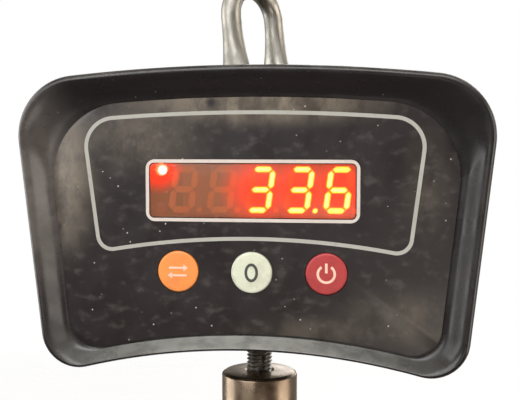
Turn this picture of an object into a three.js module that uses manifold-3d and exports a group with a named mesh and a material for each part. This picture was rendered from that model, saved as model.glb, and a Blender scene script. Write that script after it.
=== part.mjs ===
// Crane scale: a hanging digital scale of about one tonne. A shackle carries an S-type load cell
// inside a two-part plastic housing, and a swivel hook with a safety latch hangs below it.
// Millimetres, +Z up, the display faces -Y. The origin is the inside of the shackle's crown, where
// the hoist hook bears, and everything hangs down from it.
import * as THREE from 'three';
import { mergeVertices } from 'three/addons/utils/BufferGeometryUtils.js';
import Module from 'manifold-3d';

const wasm = await Module();
wasm.setup();

// ---- Driving dimensions -------------------------------------------------------------------

const GAP = 0.3;                     // air between pieces that touch on the real object

// Housing outline, seen from the front; its heights are measured from the housing's middle
const TOP_HEIGHT = 61;               // crest of the bowed top edge
const TOP_BOW_RADIUS = 780;
const ARCH_HEIGHT = -64.3;           // crown of the arched bottom edge
const ARCH_RADIUS = 303;
const HALF_WIDTH = 101.5;            // at the housing's middle
const SIDE_SLOPE = 0.11;             // the sides widen upwards
const TOP_CORNER = 27;
const BOTTOM_CORNER = 16.8;

// Housing depth
const RIM_Y = -35;
const PANEL_Y = -27;                 // floor of the dished front
const FRONT_SEAM_Y = -4.8;
const REAR_SEAM_Y = -3.2;
const BACK_Y = 35;
const WALL = 3;
const RIM_ROUND = 3.5;
const BACK_ROUND = 8;
const BACK_TAPER = 2.5;              // how far the sides draw in towards the back
const SEAM_INSET = 1.2;              // step in the outside that hides the seam
const TOP_OPENING = 26;              // radius of the shackle's opening
const BOTTOM_OPENING = 12.5;         // radius of the stud's opening

// The dished front: how far its outline lies inside the housing's, and its upper and lower corners
const PANEL = { inset: { top: 12.8, side: 11.2, bottom: 5.6 }, corners: [34, 13] };
const SLOPE_TOP = { inset: { top: 5, side: 4.6, bottom: 2.8 }, corners: [23.5, 14] };
const MOUTH = { inset: { top: 3.6, side: 3.4, bottom: 1.9 }, corners: [24.2, 14.9] };
const PANEL_WALL_INSET = { top: 9.4, side: 8, bottom: 4.8 };

// Front panel
const OVERLAY_THICKNESS = 0.4;
const WINDOW = { width: 91.4, height: 23.8, z: 6, corner: 2 };
const INDICATOR_X = -41.5;
const INDICATOR_Z = [15.2, -2.5];
const INDICATOR_RADIUS = 2.9;
const BUTTON_Z = -30.2;
const BUTTON_PITCH = 33.1;
const BUTTON_RADIUS = 9.2;
const BUTTON_FLANGE = 1.6;
const BUTTON_POST_RADIUS = 2.5;
const BUTTON_TRAVEL_ROOM = 0.75;     // free space between a button's post and its switch

// Circuit board
const BOARD_Y = -15;
const BOARD_THICKNESS = 1.6;
const BOARD_BOTTOM = -47;
const BOARD_TOP = 29;
const BOARD_WIDTH = 136;
const BOARD_POSTS = [[-62, 24], [62, 24], [-62, -42], [62, -42]];

// Load cell, 1 t S-type with M12 threads
const CELL = { width: 50.8, thickness: 19, top: 24, bottom: -38 };
const STUD_RADIUS = 6;
const NUT_ACROSS_FLATS = 18;

// Shackle, turned about the vertical from the housing's width, and leaning over on its pin
const BOW_TURN = THREE.MathUtils.degToRad(55);
const BOW_LEAN = THREE.MathUtils.degToRad(-6);
const PIN_Z = 45;
const PIN_RADIUS = 5.5;
const BOW_ROD_RADIUS = 4.6;
const EAR_RADIUS = 12;
const EAR_GAP = 18;                  // between the two ears
const BOW_INSIDE = 20;               // inside width of the bow
const BOW_HEIGHT = 49.5;             // from the pin's axis to the inside of the crown
const EAR_FLARE = 0.28;              // share of the bow's length over which an ear widens
const EYE = { radius: 13, thickness: 14, collarRadius: 8.4 };

// Swivel below the housing
const SWIVEL_RADIUS = 17.8;
const SWIVEL_TOP = -81;
const SWIVEL_BOTTOM = -128;
const SWIVEL_BORE = 15;
const CAP_FLANGE_RADIUS = 16.9;
const CAP_FLANGE_HEIGHT = 3;
const CAP_DEPTH = 11;
const RACE_HEIGHT = 2.8;
const CAGE_HEIGHT = 4;
const HOOK_NUT_HEIGHT = 12;
const SHANK_RADIUS = 7.8;
const BALLS = 9;

// Hook
const BOWL = { x: 0, z: -173, radius: 15 };
const LATCH_PIVOT = { x: -9.5, z: -142 };
const LATCH_PIN_RADIUS = 2;
const LATCH_REACH = { x: -10.5, z: -17 };      // from the pivot towards the hook's point

// Screws
const HOUSING_SCREWS = [[-84, 32], [84, 32], [-79, -53], [79, -53]];
const SCREW_SEAT_Y = 8;
const SCREW_HEAD = 2.4;
const BRACKET_SCREW = [1.9, 3.7, BACK_Y - 0.2, 8];     // radius, head radius, face, length
const DOOR_SCREW = [1.2, 2.5, BACK_Y - 0.2, 6];
const DOOR_SCREW_X = 44;
const BRACKET_SCREW_X = 16;
const BRACKET_SCREW_Z = 37;

// Battery and charging socket
const DOOR = { width: 98, height: 46, corner: 4, z: -5 };
const BATTERY_Y = 21.9;
const BATTERY_Z = [-15, 5];
const BATTERY_RADIUS = 9.1;
const SOCKET = { x: -70, z: -38, radius: 5.4, bore: 3.2 };

// ---- Materials ----------------------------------------------------------------------------

const finish = (color, roughness, metalness) => () =>
  new THREE.MeshStandardMaterial({ color, roughness, metalness });
const blackPlastic = finish(0x1f1c1d, 0.3, 0);
const panelFilm = finish(0x26221f, 0.25, 0);
const smokedRed = finish(0x7a2a1c, 0.12, 0);
const litRed = finish(0xff3a1a, 0.4, 0);
const plated = finish(0xc9c7c2, 0.25, 1);
const brightSteel = finish(0xaaa49c, 0.3, 1);
const aluminium = finish(0xb9bcc0, 0.4, 1);
const rubber = finish(0x151515, 0.8, 0);
const boardGreen = finish(0x1d5a34, 0.5, 0);
const orangeKey = finish(0xe6803a, 0.5, 0);
const creamKey = finish(0xd9d6c4, 0.5, 0);
const redKey = finish(0xb8323a, 0.5, 0);
const darkPlastic = finish(0x2b2b2d, 0.55, 0);
const cellWrap = finish(0x2f6fb0, 0.4, 0);

// ---- Solid modelling helpers --------------------------------------------------------------

// A closed manifold solid from a three.js geometry, without its poles' empty triangles.
function solid(geometry) {
  const bare = geometry.clone();
  for (const name of ['normal', 'uv']) bare.deleteAttribute(name);
  const welded = mergeVertices(bare, 1e-4);
  const kept = [];
  const index = welded.index.array;
  for (let i = 0; i < index.length; i += 3) {
    const [a, b, c] = [index[i], index[i + 1], index[i + 2]];
    if (a !== b && b !== c && c !== a) kept.push(a, b, c);
  }
  return new wasm.Manifold(new wasm.Mesh({
    numProp: 3,
    vertProperties: new Float32Array(welded.attributes.position.array),
    triVerts: new Uint32Array(kept),
  }));
}

function geometryOf(body) {
  const mesh = body.getMesh();
  const geometry = new THREE.BufferGeometry();
  geometry.setAttribute('position', new THREE.BufferAttribute(mesh.vertProperties, 3));
  geometry.setIndex(new THREE.BufferAttribute(mesh.triVerts, 1));
  geometry.computeVertexNormals();
  return geometry;
}

function join(first, ...others) {
  return geometryOf(others.reduce((body, other) => body.add(solid(other)), solid(first)));
}

function cut(first, ...tools) {
  return geometryOf(tools.reduce((body, tool) => body.subtract(solid(tool)), solid(first)));
}

function common(first, other) {
  return geometryOf(solid(first).intersect(solid(other)));
}

function block(x0, x1, y0, y1, z0, z1) {
  return new THREE.BoxGeometry(Math.abs(x1 - x0), y1 - y0, z1 - z0)
    .translate((x0 + x1) / 2, (y0 + y1) / 2, (z0 + z1) / 2);
}

function rodX(radius, x0, x1, segments = 18) {
  return new THREE.CylinderGeometry(radius, radius, x1 - x0, segments)
    .rotateZ(Math.PI / 2).translate((x0 + x1) / 2, 0, 0);
}

function rodY(radius, y0, y1, segments = 18) {
  return new THREE.CylinderGeometry(radius, radius, y1 - y0, segments)
    .translate(0, (y0 + y1) / 2, 0);
}

function rodZ(radius, z0, z1, segments = 18) {
  return new THREE.CylinderGeometry(radius, radius, z1 - z0, segments)
    .rotateX(Math.PI / 2).translate(0, 0, (z0 + z1) / 2);
}

// A body of revolution about Y. The profile is [radius, y] pairs, counterclockwise.
function turnedY(profile, segments) {
  const points = profile.map(([radius, y]) => new THREE.Vector2(radius, y));
  return new THREE.LatheGeometry(points, segments);
}

// A body of revolution about Z. The profile is [radius, z] pairs, counterclockwise.
function turned(profile, segments = 24) {
  return turnedY(profile, segments).rotateX(Math.PI / 2);
}

function ring(inner, outer, z0, z1, segments = 24) {
  return turned([[inner, z0], [outer, z0], [outer, z1], [inner, z1], [inner, z0]], segments);
}

// A hexagonal nut about Z with a plain bore.
function hexNut(acrossFlats, bore, z0, z1) {
  const body = rodZ(acrossFlats / Math.sqrt(3), z0, z1, 6);
  return cut(body, rodZ(bore, z0 - 1, z1 + 1));
}

// A rounded rectangle in the front plane, from y0 to y1.
function roundedPlate(width, height, corner, y0, y1) {
  const [w, h] = [width / 2 - corner, height / 2 - corner];
  const shape = new THREE.Shape();
  shape.absarc(w, h, corner, 0, Math.PI / 2);
  shape.absarc(-w, h, corner, Math.PI / 2, Math.PI);
  shape.absarc(-w, -h, corner, Math.PI, 1.5 * Math.PI);
  shape.absarc(w, -h, corner, 1.5 * Math.PI, 2 * Math.PI);
  return new THREE.ExtrudeGeometry(shape, { depth: y1 - y0, bevelEnabled: false, curveSegments: 2 })
    .rotateX(Math.PI / 2).translate(0, y1, 0);
}

// An outline in the X-Z plane, extruded from y0 to y1.
function plateXZ(shape, y0, y1, curveSegments = 4) {
  return new THREE.ExtrudeGeometry(shape, { depth: y1 - y0, bevelEnabled: false, curveSegments })
    .rotateX(Math.PI / 2).translate(0, y1, 0);
}

// A plain pan-head screw along Y, its head's top at headY and its point towards -Y.
function panScrew(radius, headRadius, headHeight, headY, length) {
  const seat = headY - headHeight;
  return turnedY([
    [0, seat - length], [radius, seat - length + radius], [radius, seat],
    [headRadius, seat], [headRadius * 0.8, headY], [0, headY],
  ], 10);
}

// A flush countersunk screw along Y, its head's face at headY and its point towards -Y. With a
// clearance it is the hole for such a screw.
function countersunkScrew(radius, headRadius, headY, length, clearance = 0) {
  const [shank, head] = [radius + clearance, headRadius + clearance];
  const coneBottom = headY - (headRadius - radius);
  return turnedY([
    [0, headY - length - clearance], [shank, headY - length + (clearance ? 0 : radius)],
    [shank, coneBottom], [head, headY + clearance], [0, headY + clearance],
  ], 12);
}

// ---- Housing outline ----------------------------------------------------------------------

function arcPoints(centre, radius, from, to, steps) {
  const points = [];
  for (let i = 0; i <= steps; i += 1) {
    const angle = from + ((to - from) * i) / steps;
    points.push(new THREE.Vector2(
      centre.x + radius * Math.cos(angle),
      centre.y + radius * Math.sin(angle),
    ));
  }
  return points;
}

// Centre of a fillet that touches the sloping side, at clearance from the side, and lies at
// distance from a point on the centre line. side is +1 for the upper crossing, -1 for the lower.
function filletCentre(clearance, originZ, distance, side) {
  const offset = HALF_WIDTH - clearance * Math.hypot(1, SIDE_SLOPE);
  const a = 1 + SIDE_SLOPE ** 2;
  const b = 2 * (SIDE_SLOPE * offset - originZ);
  const c = offset ** 2 + originZ ** 2 - distance ** 2;
  const z = (-b + side * Math.sqrt(b ** 2 - 4 * a * c)) / (2 * a);
  return new THREE.Vector2(offset + SIDE_SLOPE * z, z);
}

// The housing's outline drawn inside itself by an inset of its own for top, sides and bottom.
function outline(inset, topCorner = TOP_CORNER, bottomCorner = BOTTOM_CORNER) {
  const topOrigin = new THREE.Vector2(0, TOP_HEIGHT - TOP_BOW_RADIUS);
  const topRadius = TOP_BOW_RADIUS - inset.top;
  const archOrigin = new THREE.Vector2(0, ARCH_HEIGHT - ARCH_RADIUS);
  const archRadius = ARCH_RADIUS + inset.bottom;
  const upper = filletCentre(inset.side + topCorner, topOrigin.y, topRadius - topCorner, 1);
  const lower = filletCentre(inset.side + bottomCorner, archOrigin.y, archRadius + bottomCorner, 1);
  const sideAngle = -Math.atan(SIDE_SLOPE);
  const upperAngle = Math.atan2(upper.y - topOrigin.y, upper.x);
  const lowerAngle = Math.atan2(lower.y - archOrigin.y, lower.x);
  const half = [
    ...arcPoints(archOrigin, archRadius, Math.PI / 2, lowerAngle, 5),
    ...arcPoints(lower, bottomCorner, lowerAngle - Math.PI, sideAngle, 4).slice(1),
    ...arcPoints(upper, topCorner, sideAngle, upperAngle, 5),
    ...arcPoints(topOrigin, topRadius, upperAngle, Math.PI / 2, 4).slice(1),
  ];
  const mirrored = half.slice(1, -1).reverse().map((point) => new THREE.Vector2(-point.x, point.y));
  return [...half, ...mirrored];
}

const even = (distance) => ({ top: distance, side: distance, bottom: distance });

// A solid through a row of outlines of equal length, listed from the back (+Y) to the front.
function loft(sections) {
  const count = sections[0].points.length;
  const positions = sections.flatMap(({ y, points }) => points.flatMap((p) => [p.x, y, p.y]));
  const index = [];
  for (let level = 0; level < sections.length - 1; level += 1) {
    for (let i = 0; i < count; i += 1) {
      const [a, b] = [level * count + i, level * count + ((i + 1) % count)];
      index.push(a, b, b + count, a, b + count, a + count);
    }
  }
  const last = (sections.length - 1) * count;
  for (const [start, flip] of [[0, true], [last, false]]) {
    const { points } = sections[start / count];
    for (const face of THREE.ShapeUtils.triangulateShape(points, [])) {
      const clockwise = THREE.ShapeUtils.isClockWise(face.map((i) => points[i]));
      const ordered = clockwise === flip ? face : [face[0], face[2], face[1]];
      index.push(...ordered.map((i) => i + start));
    }
  }
  const geometry = new THREE.BufferGeometry();
  geometry.setAttribute('position', new THREE.Float32BufferAttribute(positions, 3));
  geometry.setIndex(index);
  return geometry;
}

const section = (y, inset, corners = []) => ({ y, points: outline(inset, ...corners) });

// Quarter-round steps from full size in to an inset equal to the radius.
function roundedEdge(startY, direction, radius, steps, base = 0) {
  const sections = [];
  for (let i = 1; i <= steps; i += 1) {
    const angle = (Math.PI / 2) * (i / steps);
    const inset = base + radius * (1 - Math.cos(angle));
    sections.push(section(startY + direction * radius * Math.sin(angle), even(inset)));
  }
  return sections;
}

// ---- Placing the parts --------------------------------------------------------------------

const crown = new THREE.Vector3(0, 0, BOW_HEIGHT)
  .applyEuler(new THREE.Euler(BOW_LEAN, 0, 0))
  .applyEuler(new THREE.Euler(0, 0, BOW_TURN))
  .add(new THREE.Vector3(0, 0, PIN_Z));

const scale = new THREE.Group();
scale.position.copy(crown).negate();

const turnedSet = new THREE.Group();   // what stands square to the shackle's pin
turnedSet.position.z = PIN_Z;
turnedSet.rotation.z = BOW_TURN;
scale.add(turnedSet);

const shackleSet = new THREE.Group();  // the shackle itself, leaning over on its pin
shackleSet.rotation.x = BOW_LEAN;
turnedSet.add(shackleSet);

function place(name, geometry, material, { x = 0, y = 0, z = 0, parent = scale } = {}) {
  const mesh = new THREE.Mesh(geometry, material());
  mesh.name = name;
  mesh.position.set(x, y, z);
  parent.add(mesh);
}

// ---- Shackle ------------------------------------------------------------------------------

// The bow's centre line, from one ear over the crown to the other, seen along its thickness.
function bowCurve() {
  const leg = EAR_GAP / 2 + BOW_ROD_RADIUS;
  const bow = BOW_INSIDE / 2 + BOW_ROD_RADIUS;
  const top = BOW_HEIGHT + BOW_ROD_RADIUS;
  const shoulder = top - bow;
  const quarter = 0.5523 * bow;
  const at = (x, z) => new THREE.Vector2(x, z);
  const curve = new THREE.CurvePath();
  curve.add(new THREE.CubicBezierCurve(
    at(-leg, 0), at(-leg, shoulder * 0.5), at(-bow, shoulder * 0.7), at(-bow, shoulder),
  ));
  curve.add(new THREE.CubicBezierCurve(
    at(-bow, shoulder), at(-bow, shoulder + quarter), at(-quarter, top), at(0, top),
  ));
  curve.add(new THREE.CubicBezierCurve(
    at(0, top), at(quarter, top), at(bow, shoulder + quarter), at(bow, shoulder),
  ));
  curve.add(new THREE.CubicBezierCurve(
    at(bow, shoulder), at(bow, shoulder * 0.7), at(leg, shoulder * 0.5), at(leg, 0),
  ));
  return curve;
}

function shackleBow() {
  const widest = EAR_RADIUS - 0.5;
  const flare = (t) => Math.max(0, 1 - Math.min(t, 1 - t) / EAR_FLARE) ** 2;
  const halfWidth = (t) => BOW_ROD_RADIUS + (widest - BOW_ROD_RADIUS) * flare(t);
  const bar = sweepXZ(bowCurve(), 30, 16, () => BOW_ROD_RADIUS, halfWidth);
  const inner = EAR_GAP / 2;
  const outer = inner + 2 * BOW_ROD_RADIUS;
  const ears = [rodX(EAR_RADIUS, inner, outer, 24), rodX(EAR_RADIUS, -outer, -inner, 24)];
  const hole = rodX(PIN_RADIUS + GAP, -outer - 1, outer + 1);
  return cut(join(bar, ...ears), hole);
}

function shackleParts() {
  const outer = EAR_GAP / 2 + 2 * BOW_ROD_RADIUS;
  const headHeight = 4;
  const nutStart = outer + GAP;
  const nutEnd = nutStart + 6.5;
  const cotterX = nutEnd + 1.6;
  const pinBody = join(
    rodX(PIN_RADIUS, -outer - 2, cotterX + 2),
    rodX(7, -outer - GAP - headHeight, -outer - GAP, 18),
  );
  const cotterHole = rodZ(1.1, -8, 8, 8).translate(cotterX, 0, 0);
  const nut = hexNut(16, PIN_RADIUS + GAP, nutStart, nutEnd).rotateY(Math.PI / 2);
  const cotter = join(
    rodZ(0.8, -8, 7, 8),
    new THREE.CylinderGeometry(1.5, 1.5, 1.4, 10).translate(0, 0, 7.2),
  );
  place('shackle_bow', shackleBow(), plated, { parent: shackleSet });
  place('shackle_pin', cut(pinBody, cotterHole), plated, { parent: shackleSet });
  place('shackle_nut', nut, plated, { parent: shackleSet });
  place('shackle_cotter_pin', cotter, plated, { parent: shackleSet, x: cotterX });
}

// ---- Load train inside the housing --------------------------------------------------------

function upperEye() {
  const eye = rodX(EYE.radius, -EYE.thickness / 2, EYE.thickness / 2, 28);
  const collar = rodZ(EYE.collarRadius, -EYE.radius, -EYE.radius + 6);
  const stem = rodZ(STUD_RADIUS, CELL.top - 17 - PIN_Z, -EYE.radius + 3);
  const bore = rodX(PIN_RADIUS + 0.5, -EYE.thickness, EYE.thickness);
  return cut(join(eye, collar, stem), bore);
}

// S-shaped beam: a block with a slot from each side and a waisted hole through its middle.
function loadCell() {
  const [half, depth] = [CELL.width / 2, CELL.thickness / 2];
  const middle = (CELL.top + CELL.bottom) / 2;
  const slot = 1.3;
  const slotRise = 15;
  const body = block(-half, half, -depth, depth, CELL.bottom, CELL.top);
  const upperSlot = block(-half + 14, half + 1, -depth - 1, depth + 1,
    middle + slotRise - slot, middle + slotRise + slot);
  const lowerSlot = block(-half - 1, half - 14, -depth - 1, depth + 1,
    middle - slotRise - slot, middle - slotRise + slot);
  const holes = [-6, 6].map((x) => rodY(6.5, -depth - 1, depth + 1).translate(x, 0, middle));
  const threads = [
    rodZ(STUD_RADIUS + GAP, CELL.top - 18, CELL.top + 1),
    rodZ(STUD_RADIUS + GAP, CELL.bottom - 1, CELL.bottom + 20),
  ];
  return cut(body, upperSlot, lowerSlot, ...holes, ...threads);
}

function housingBracket() {
  const z0 = CELL.top + GAP;
  const shelf = block(-24, 24, -CELL.thickness / 2, 31.2, z0, z0 + 2);
  const upright = block(-24, 24, 29.2, 31.2, z0, z0 + 20);
  const studHole = rodZ(STUD_RADIUS + 0.5, z0 - 1, z0 + 3);
  const screwHoles = [-1, 1].map((side) => rodY(2.4, 28, 33, 16)
    .translate(side * BRACKET_SCREW_X, 0, BRACKET_SCREW_Z));
  return cut(join(shelf, upright), studHole, ...screwHoles);
}

function loadTrain() {
  const middle = (CELL.top + CELL.bottom) / 2;
  const bracketTop = CELL.top + GAP + 2;
  const coverBack = -CELL.thickness / 2 - GAP;
  const gaugeCover = roundedPlate(30, 20, 3, coverBack - 0.8, coverBack).translate(0, 0, middle);
  const locknut = [bracketTop + GAP - PIN_Z, -EYE.radius - GAP];
  place('upper_eye', upperEye(), brightSteel, { parent: turnedSet });
  place('upper_locknut', hexNut(NUT_ACROSS_FLATS, STUD_RADIUS + GAP, ...locknut), plated,
    { parent: turnedSet });
  place('load_cell', loadCell(), aluminium);
  place('gauge_cover', gaugeCover, aluminium);
  place('housing_bracket', housingBracket(), brightSteel);
  place('lower_stud', rodZ(STUD_RADIUS, SWIVEL_TOP - 10.5, CELL.bottom + 18, 28), plated);
  const lowerNut = [CELL.bottom - GAP - 10, CELL.bottom - GAP];
  place('lower_locknut', hexNut(NUT_ACROSS_FLATS, STUD_RADIUS + GAP, ...lowerNut), plated);
  for (const [i, side] of [-1, 1].entries()) {
    place(`bracket_screw_${i + 1}`, countersunkScrew(...BRACKET_SCREW), plated,
      { x: side * BRACKET_SCREW_X, z: BRACKET_SCREW_Z });
  }
}

// ---- Housing ------------------------------------------------------------------------------

// Openings in the top and bottom walls for the shackle and for the lower stud.
const wallOpenings = () => [
  rodZ(TOP_OPENING, TOP_HEIGHT - 7, TOP_HEIGHT + 6, 28),
  rodZ(BOTTOM_OPENING, ARCH_HEIGHT - 6, ARCH_HEIGHT + 8, 20),
];

function windowCut() {
  const { width, height, corner, z } = WINDOW;
  return roundedPlate(width + 2 * GAP, height + 2 * GAP, corner, PANEL_Y - 2, PANEL_Y + 5)
    .translate(0, 0, z);
}

const buttonPlaces = () => [-1, 0, 1].map((step) => step * BUTTON_PITCH);

function frontHousing() {
  const outer = loft([
    section(FRONT_SEAM_Y, even(SEAM_INSET)),
    section(RIM_Y + RIM_ROUND, even(0)),
    ...roundedEdge(RIM_Y + RIM_ROUND, -1, RIM_ROUND, 2),
  ]);
  const dish = loft([
    section(PANEL_Y, PANEL.inset, PANEL.corners),
    section(RIM_Y + 1.2, SLOPE_TOP.inset, SLOPE_TOP.corners),
    section(RIM_Y - 1, MOUTH.inset, MOUTH.corners),
  ]);
  const cavity = loft([
    section(FRONT_SEAM_Y + 1, even(WALL + SEAM_INSET)),
    section(PANEL_Y + WALL + 4, even(WALL + SEAM_INSET)),
    section(PANEL_Y + WALL, PANEL_WALL_INSET),
  ]);
  const bosses = HOUSING_SCREWS.map(([x, z]) =>
    rodY(4.8, PANEL_Y + 1.5, FRONT_SEAM_Y, 12).translate(x, 0, z));
  const posts = BOARD_POSTS.map(([x, z]) =>
    rodY(3.2, PANEL_Y + 1.5, BOARD_Y - GAP, 10).translate(x, 0, z));
  const pilots = [
    ...HOUSING_SCREWS.map(([x, z]) => rodY(1.9, -20, FRONT_SEAM_Y + 1, 8).translate(x, 0, z)),
    ...BOARD_POSTS.map(([x, z]) => rodY(1.6, -21, BOARD_Y + 1, 8).translate(x, 0, z)),
  ];
  const keyHoles = buttonPlaces().map((x) =>
    rodY(BUTTON_RADIUS + GAP, PANEL_Y - 2, PANEL_Y + 5, 20).translate(x, 0, BUTTON_Z));
  const shell = join(cut(outer, dish, cavity), ...bosses, ...posts);
  return cut(shell, ...pilots, ...keyHoles, windowCut(), ...wallOpenings());
}

function batteryDoorPlate(clearance, y0, y1) {
  const { width, height, corner, z } = DOOR;
  return roundedPlate(width + 2 * clearance, height + 2 * clearance, corner, y0, y1)
    .translate(0, 0, z);
}

function rearHousing() {
  const outer = loft([
    ...roundedEdge(BACK_Y - BACK_ROUND, 1, BACK_ROUND, 2, BACK_TAPER).reverse(),
    section(BACK_Y - BACK_ROUND, even(BACK_TAPER)),
    section(REAR_SEAM_Y, even(SEAM_INSET)),
  ]);
  const cavity = loft([
    section(BACK_Y - WALL, even(BACK_TAPER + 7.5)),
    section(BACK_Y - BACK_ROUND + 2, even(BACK_TAPER + WALL + 0.3)),
    section(REAR_SEAM_Y - 1, even(WALL + SEAM_INSET)),
  ]);
  const bosses = HOUSING_SCREWS.map(([x, z]) =>
    rodY(6, REAR_SEAM_Y, BACK_Y - 1.5, 14).translate(x, 0, z));
  const clipped = bosses.map((boss) => common(boss, outer));
  const screwPaths = HOUSING_SCREWS.flatMap(([x, z]) => [
    rodY(4.2, SCREW_SEAT_Y, BACK_Y + 1, 12).translate(x, 0, z),
    rodY(2.1, REAR_SEAM_Y - 1, SCREW_SEAT_Y + 1, 8).translate(x, 0, z),
  ]);
  const bracketHoles = [-1, 1].map((side) => countersunkScrew(...BRACKET_SCREW, GAP + 0.1)
    .translate(side * BRACKET_SCREW_X, 0, BRACKET_SCREW_Z));
  const socketHole = rodY(SOCKET.radius + 0.4, BACK_Y - WALL - 1, BACK_Y + 1, 20)
    .translate(SOCKET.x, 0, SOCKET.z);
  return cut(join(cut(outer, cavity), ...clipped), ...screwPaths, ...bracketHoles, socketHole,
    batteryDoorPlate(GAP, BACK_Y - WALL - 1, BACK_Y + 1), ...wallOpenings());
}

// The seam's gasket lies in two strips, left and right of the openings.
function housingGasket(side) {
  const [y0, y1] = [FRONT_SEAM_Y + GAP, REAR_SEAM_Y - GAP];
  const outer = loft([section(y1, even(2)), section(y0, even(2))]);
  const inner = loft([section(y1 + 1, even(3.8)), section(y0 - 1, even(3.8))]);
  const reach = 2 * TOP_HEIGHT;
  const half = block(0, side * reach, y0 - 1, y1 + 1, -reach, reach);
  return common(cut(outer, inner, ...wallOpenings()), half);
}

function frontOverlay() {
  const [y0, y1] = [PANEL_Y - GAP - OVERLAY_THICKNESS, PANEL_Y - GAP];
  const { top, side, bottom } = PANEL.inset;
  const edge = { top: top + 1, side: side + 1, bottom: bottom + 1 };
  const corners = PANEL.corners.map((corner) => corner - 1);
  const sheet = loft([section(y1, edge, corners), section(y0, edge, corners)]);
  const keyHoles = buttonPlaces().map((x) =>
    rodY(BUTTON_RADIUS + GAP, y0 - 1, y1 + 1, 20).translate(x, 0, BUTTON_Z));
  return cut(sheet, ...keyHoles, windowCut());
}

// Rubber rings that line the round openings in the housing's top and bottom walls.
function liningRings() {
  const seal = ring(TOP_OPENING - 2, TOP_OPENING - GAP, TOP_HEIGHT - 5, TOP_HEIGHT - 1.2, 28);
  const grommet = ring(8.5, BOTTOM_OPENING - GAP, ARCH_HEIGHT - 1, ARCH_HEIGHT + 5, 28);
  place('top_seal', seal, rubber);
  place('bottom_grommet', grommet, rubber);
}

function housingParts() {
  place('front_housing', frontHousing(), blackPlastic);
  place('rear_housing', rearHousing(), blackPlastic);
  place('gasket_left', housingGasket(-1), rubber);
  place('gasket_right', housingGasket(1), rubber);
  place('front_overlay', frontOverlay(), panelFilm);
  liningRings();
  place('battery_cover', batteryCover(), blackPlastic);
  HOUSING_SCREWS.forEach(([x, z], i) => {
    const screw = panScrew(1.6, 3.4, SCREW_HEAD, SCREW_SEAT_Y + GAP + SCREW_HEAD, 25);
    place(`housing_screw_${i + 1}`, screw, plated, { x, z });
  });
}

function batteryCover() {
  const plate = batteryDoorPlate(0, BACK_Y - WALL + GAP, BACK_Y);
  const holes = [-1, 1].map((side) => countersunkScrew(...DOOR_SCREW, GAP + 0.1)
    .translate(side * DOOR_SCREW_X, 0, DOOR.z));
  return cut(plate, ...holes);
}

// ---- Front panel --------------------------------------------------------------------------

function displayParts() {
  const { width, height, corner, z } = WINDOW;
  const lensBack = PANEL_Y + 2;
  const lens = roundedPlate(width, height, corner, PANEL_Y - GAP - OVERLAY_THICKNESS, lensBack);
  const moduleFront = lensBack + GAP;
  const module = roundedPlate(77, 22.4, 1, moduleFront, BOARD_Y - GAP);
  place('display_window', lens, smokedRed, { z });
  place('display_module', module, darkPlastic, { x: 7, z });
  INDICATOR_Z.forEach((lampZ, i) => {
    const dome = turnedY([
      [0, moduleFront], [INDICATOR_RADIUS * 0.7, moduleFront + 0.6],
      [INDICATOR_RADIUS, moduleFront + 2], [INDICATOR_RADIUS, BOARD_Y - GAP], [0, BOARD_Y - GAP],
    ], 16);
    place(`unit_indicator_${i + 1}`, dome, litRed, { x: INDICATOR_X, z: lampZ });
  });
}

function buttonCap() {
  const front = PANEL_Y - GAP - OVERLAY_THICKNESS - 0.7;
  const flange = BUTTON_RADIUS + BUTTON_FLANGE;
  const inside = PANEL_Y + WALL;
  return turnedY([
    [0, front], [BUTTON_RADIUS - 1.2, front], [BUTTON_RADIUS, front + 0.8],
    [BUTTON_RADIUS, inside + GAP], [flange, inside + GAP], [flange, inside + 1.5],
    [BUTTON_POST_RADIUS, inside + 1.5], [BUTTON_POST_RADIUS, inside + 3], [0, inside + 3],
  ], 20);
}

function tactSwitch() {
  const stemFront = PANEL_Y + WALL + 3 + BUTTON_TRAVEL_ROOM;
  const body = block(-6, 6, BOARD_Y - GAP - 3.5, BOARD_Y - GAP, -6, 6);
  return join(body, rodY(2.2, stemFront, BOARD_Y - GAP - 3, 14));
}

function boardParts() {
  const board = block(-BOARD_WIDTH / 2, BOARD_WIDTH / 2, BOARD_Y, BOARD_Y + BOARD_THICKNESS,
    BOARD_BOTTOM, BOARD_TOP);
  const holes = BOARD_POSTS.map(([x, z]) =>
    rodY(1.8, BOARD_Y - 1, BOARD_Y + BOARD_THICKNESS + 1, 12).translate(x, 0, z));
  const back = BOARD_Y + BOARD_THICKNESS + GAP;
  place('main_board', cut(board, ...holes), boardGreen);
  BOARD_POSTS.forEach(([x, z], i) => {
    place(`board_screw_${i + 1}`, panScrew(1.2, 2.6, 1.6, back + 1.6, 6), plated, { x, z });
  });
  place('buzzer', turned([[0, 0], [5.8, 0], [5.8, 7], [1.2, 7.6], [0, 7.6]], 20).rotateX(-Math.PI / 2),
    darkPlastic, { x: 42, y: back, z: -34 });
  const keys = [['units', orangeKey], ['zero', creamKey], ['power', redKey]];
  keys.forEach(([name, material], i) => {
    const at = { x: buttonPlaces()[i], z: BUTTON_Z };
    place(`button_${name}`, buttonCap(), material, at);
    place(`switch_${name}`, tactSwitch(), darkPlastic, at);
  });
}

// ---- Battery and wiring -------------------------------------------------------------------

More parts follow.
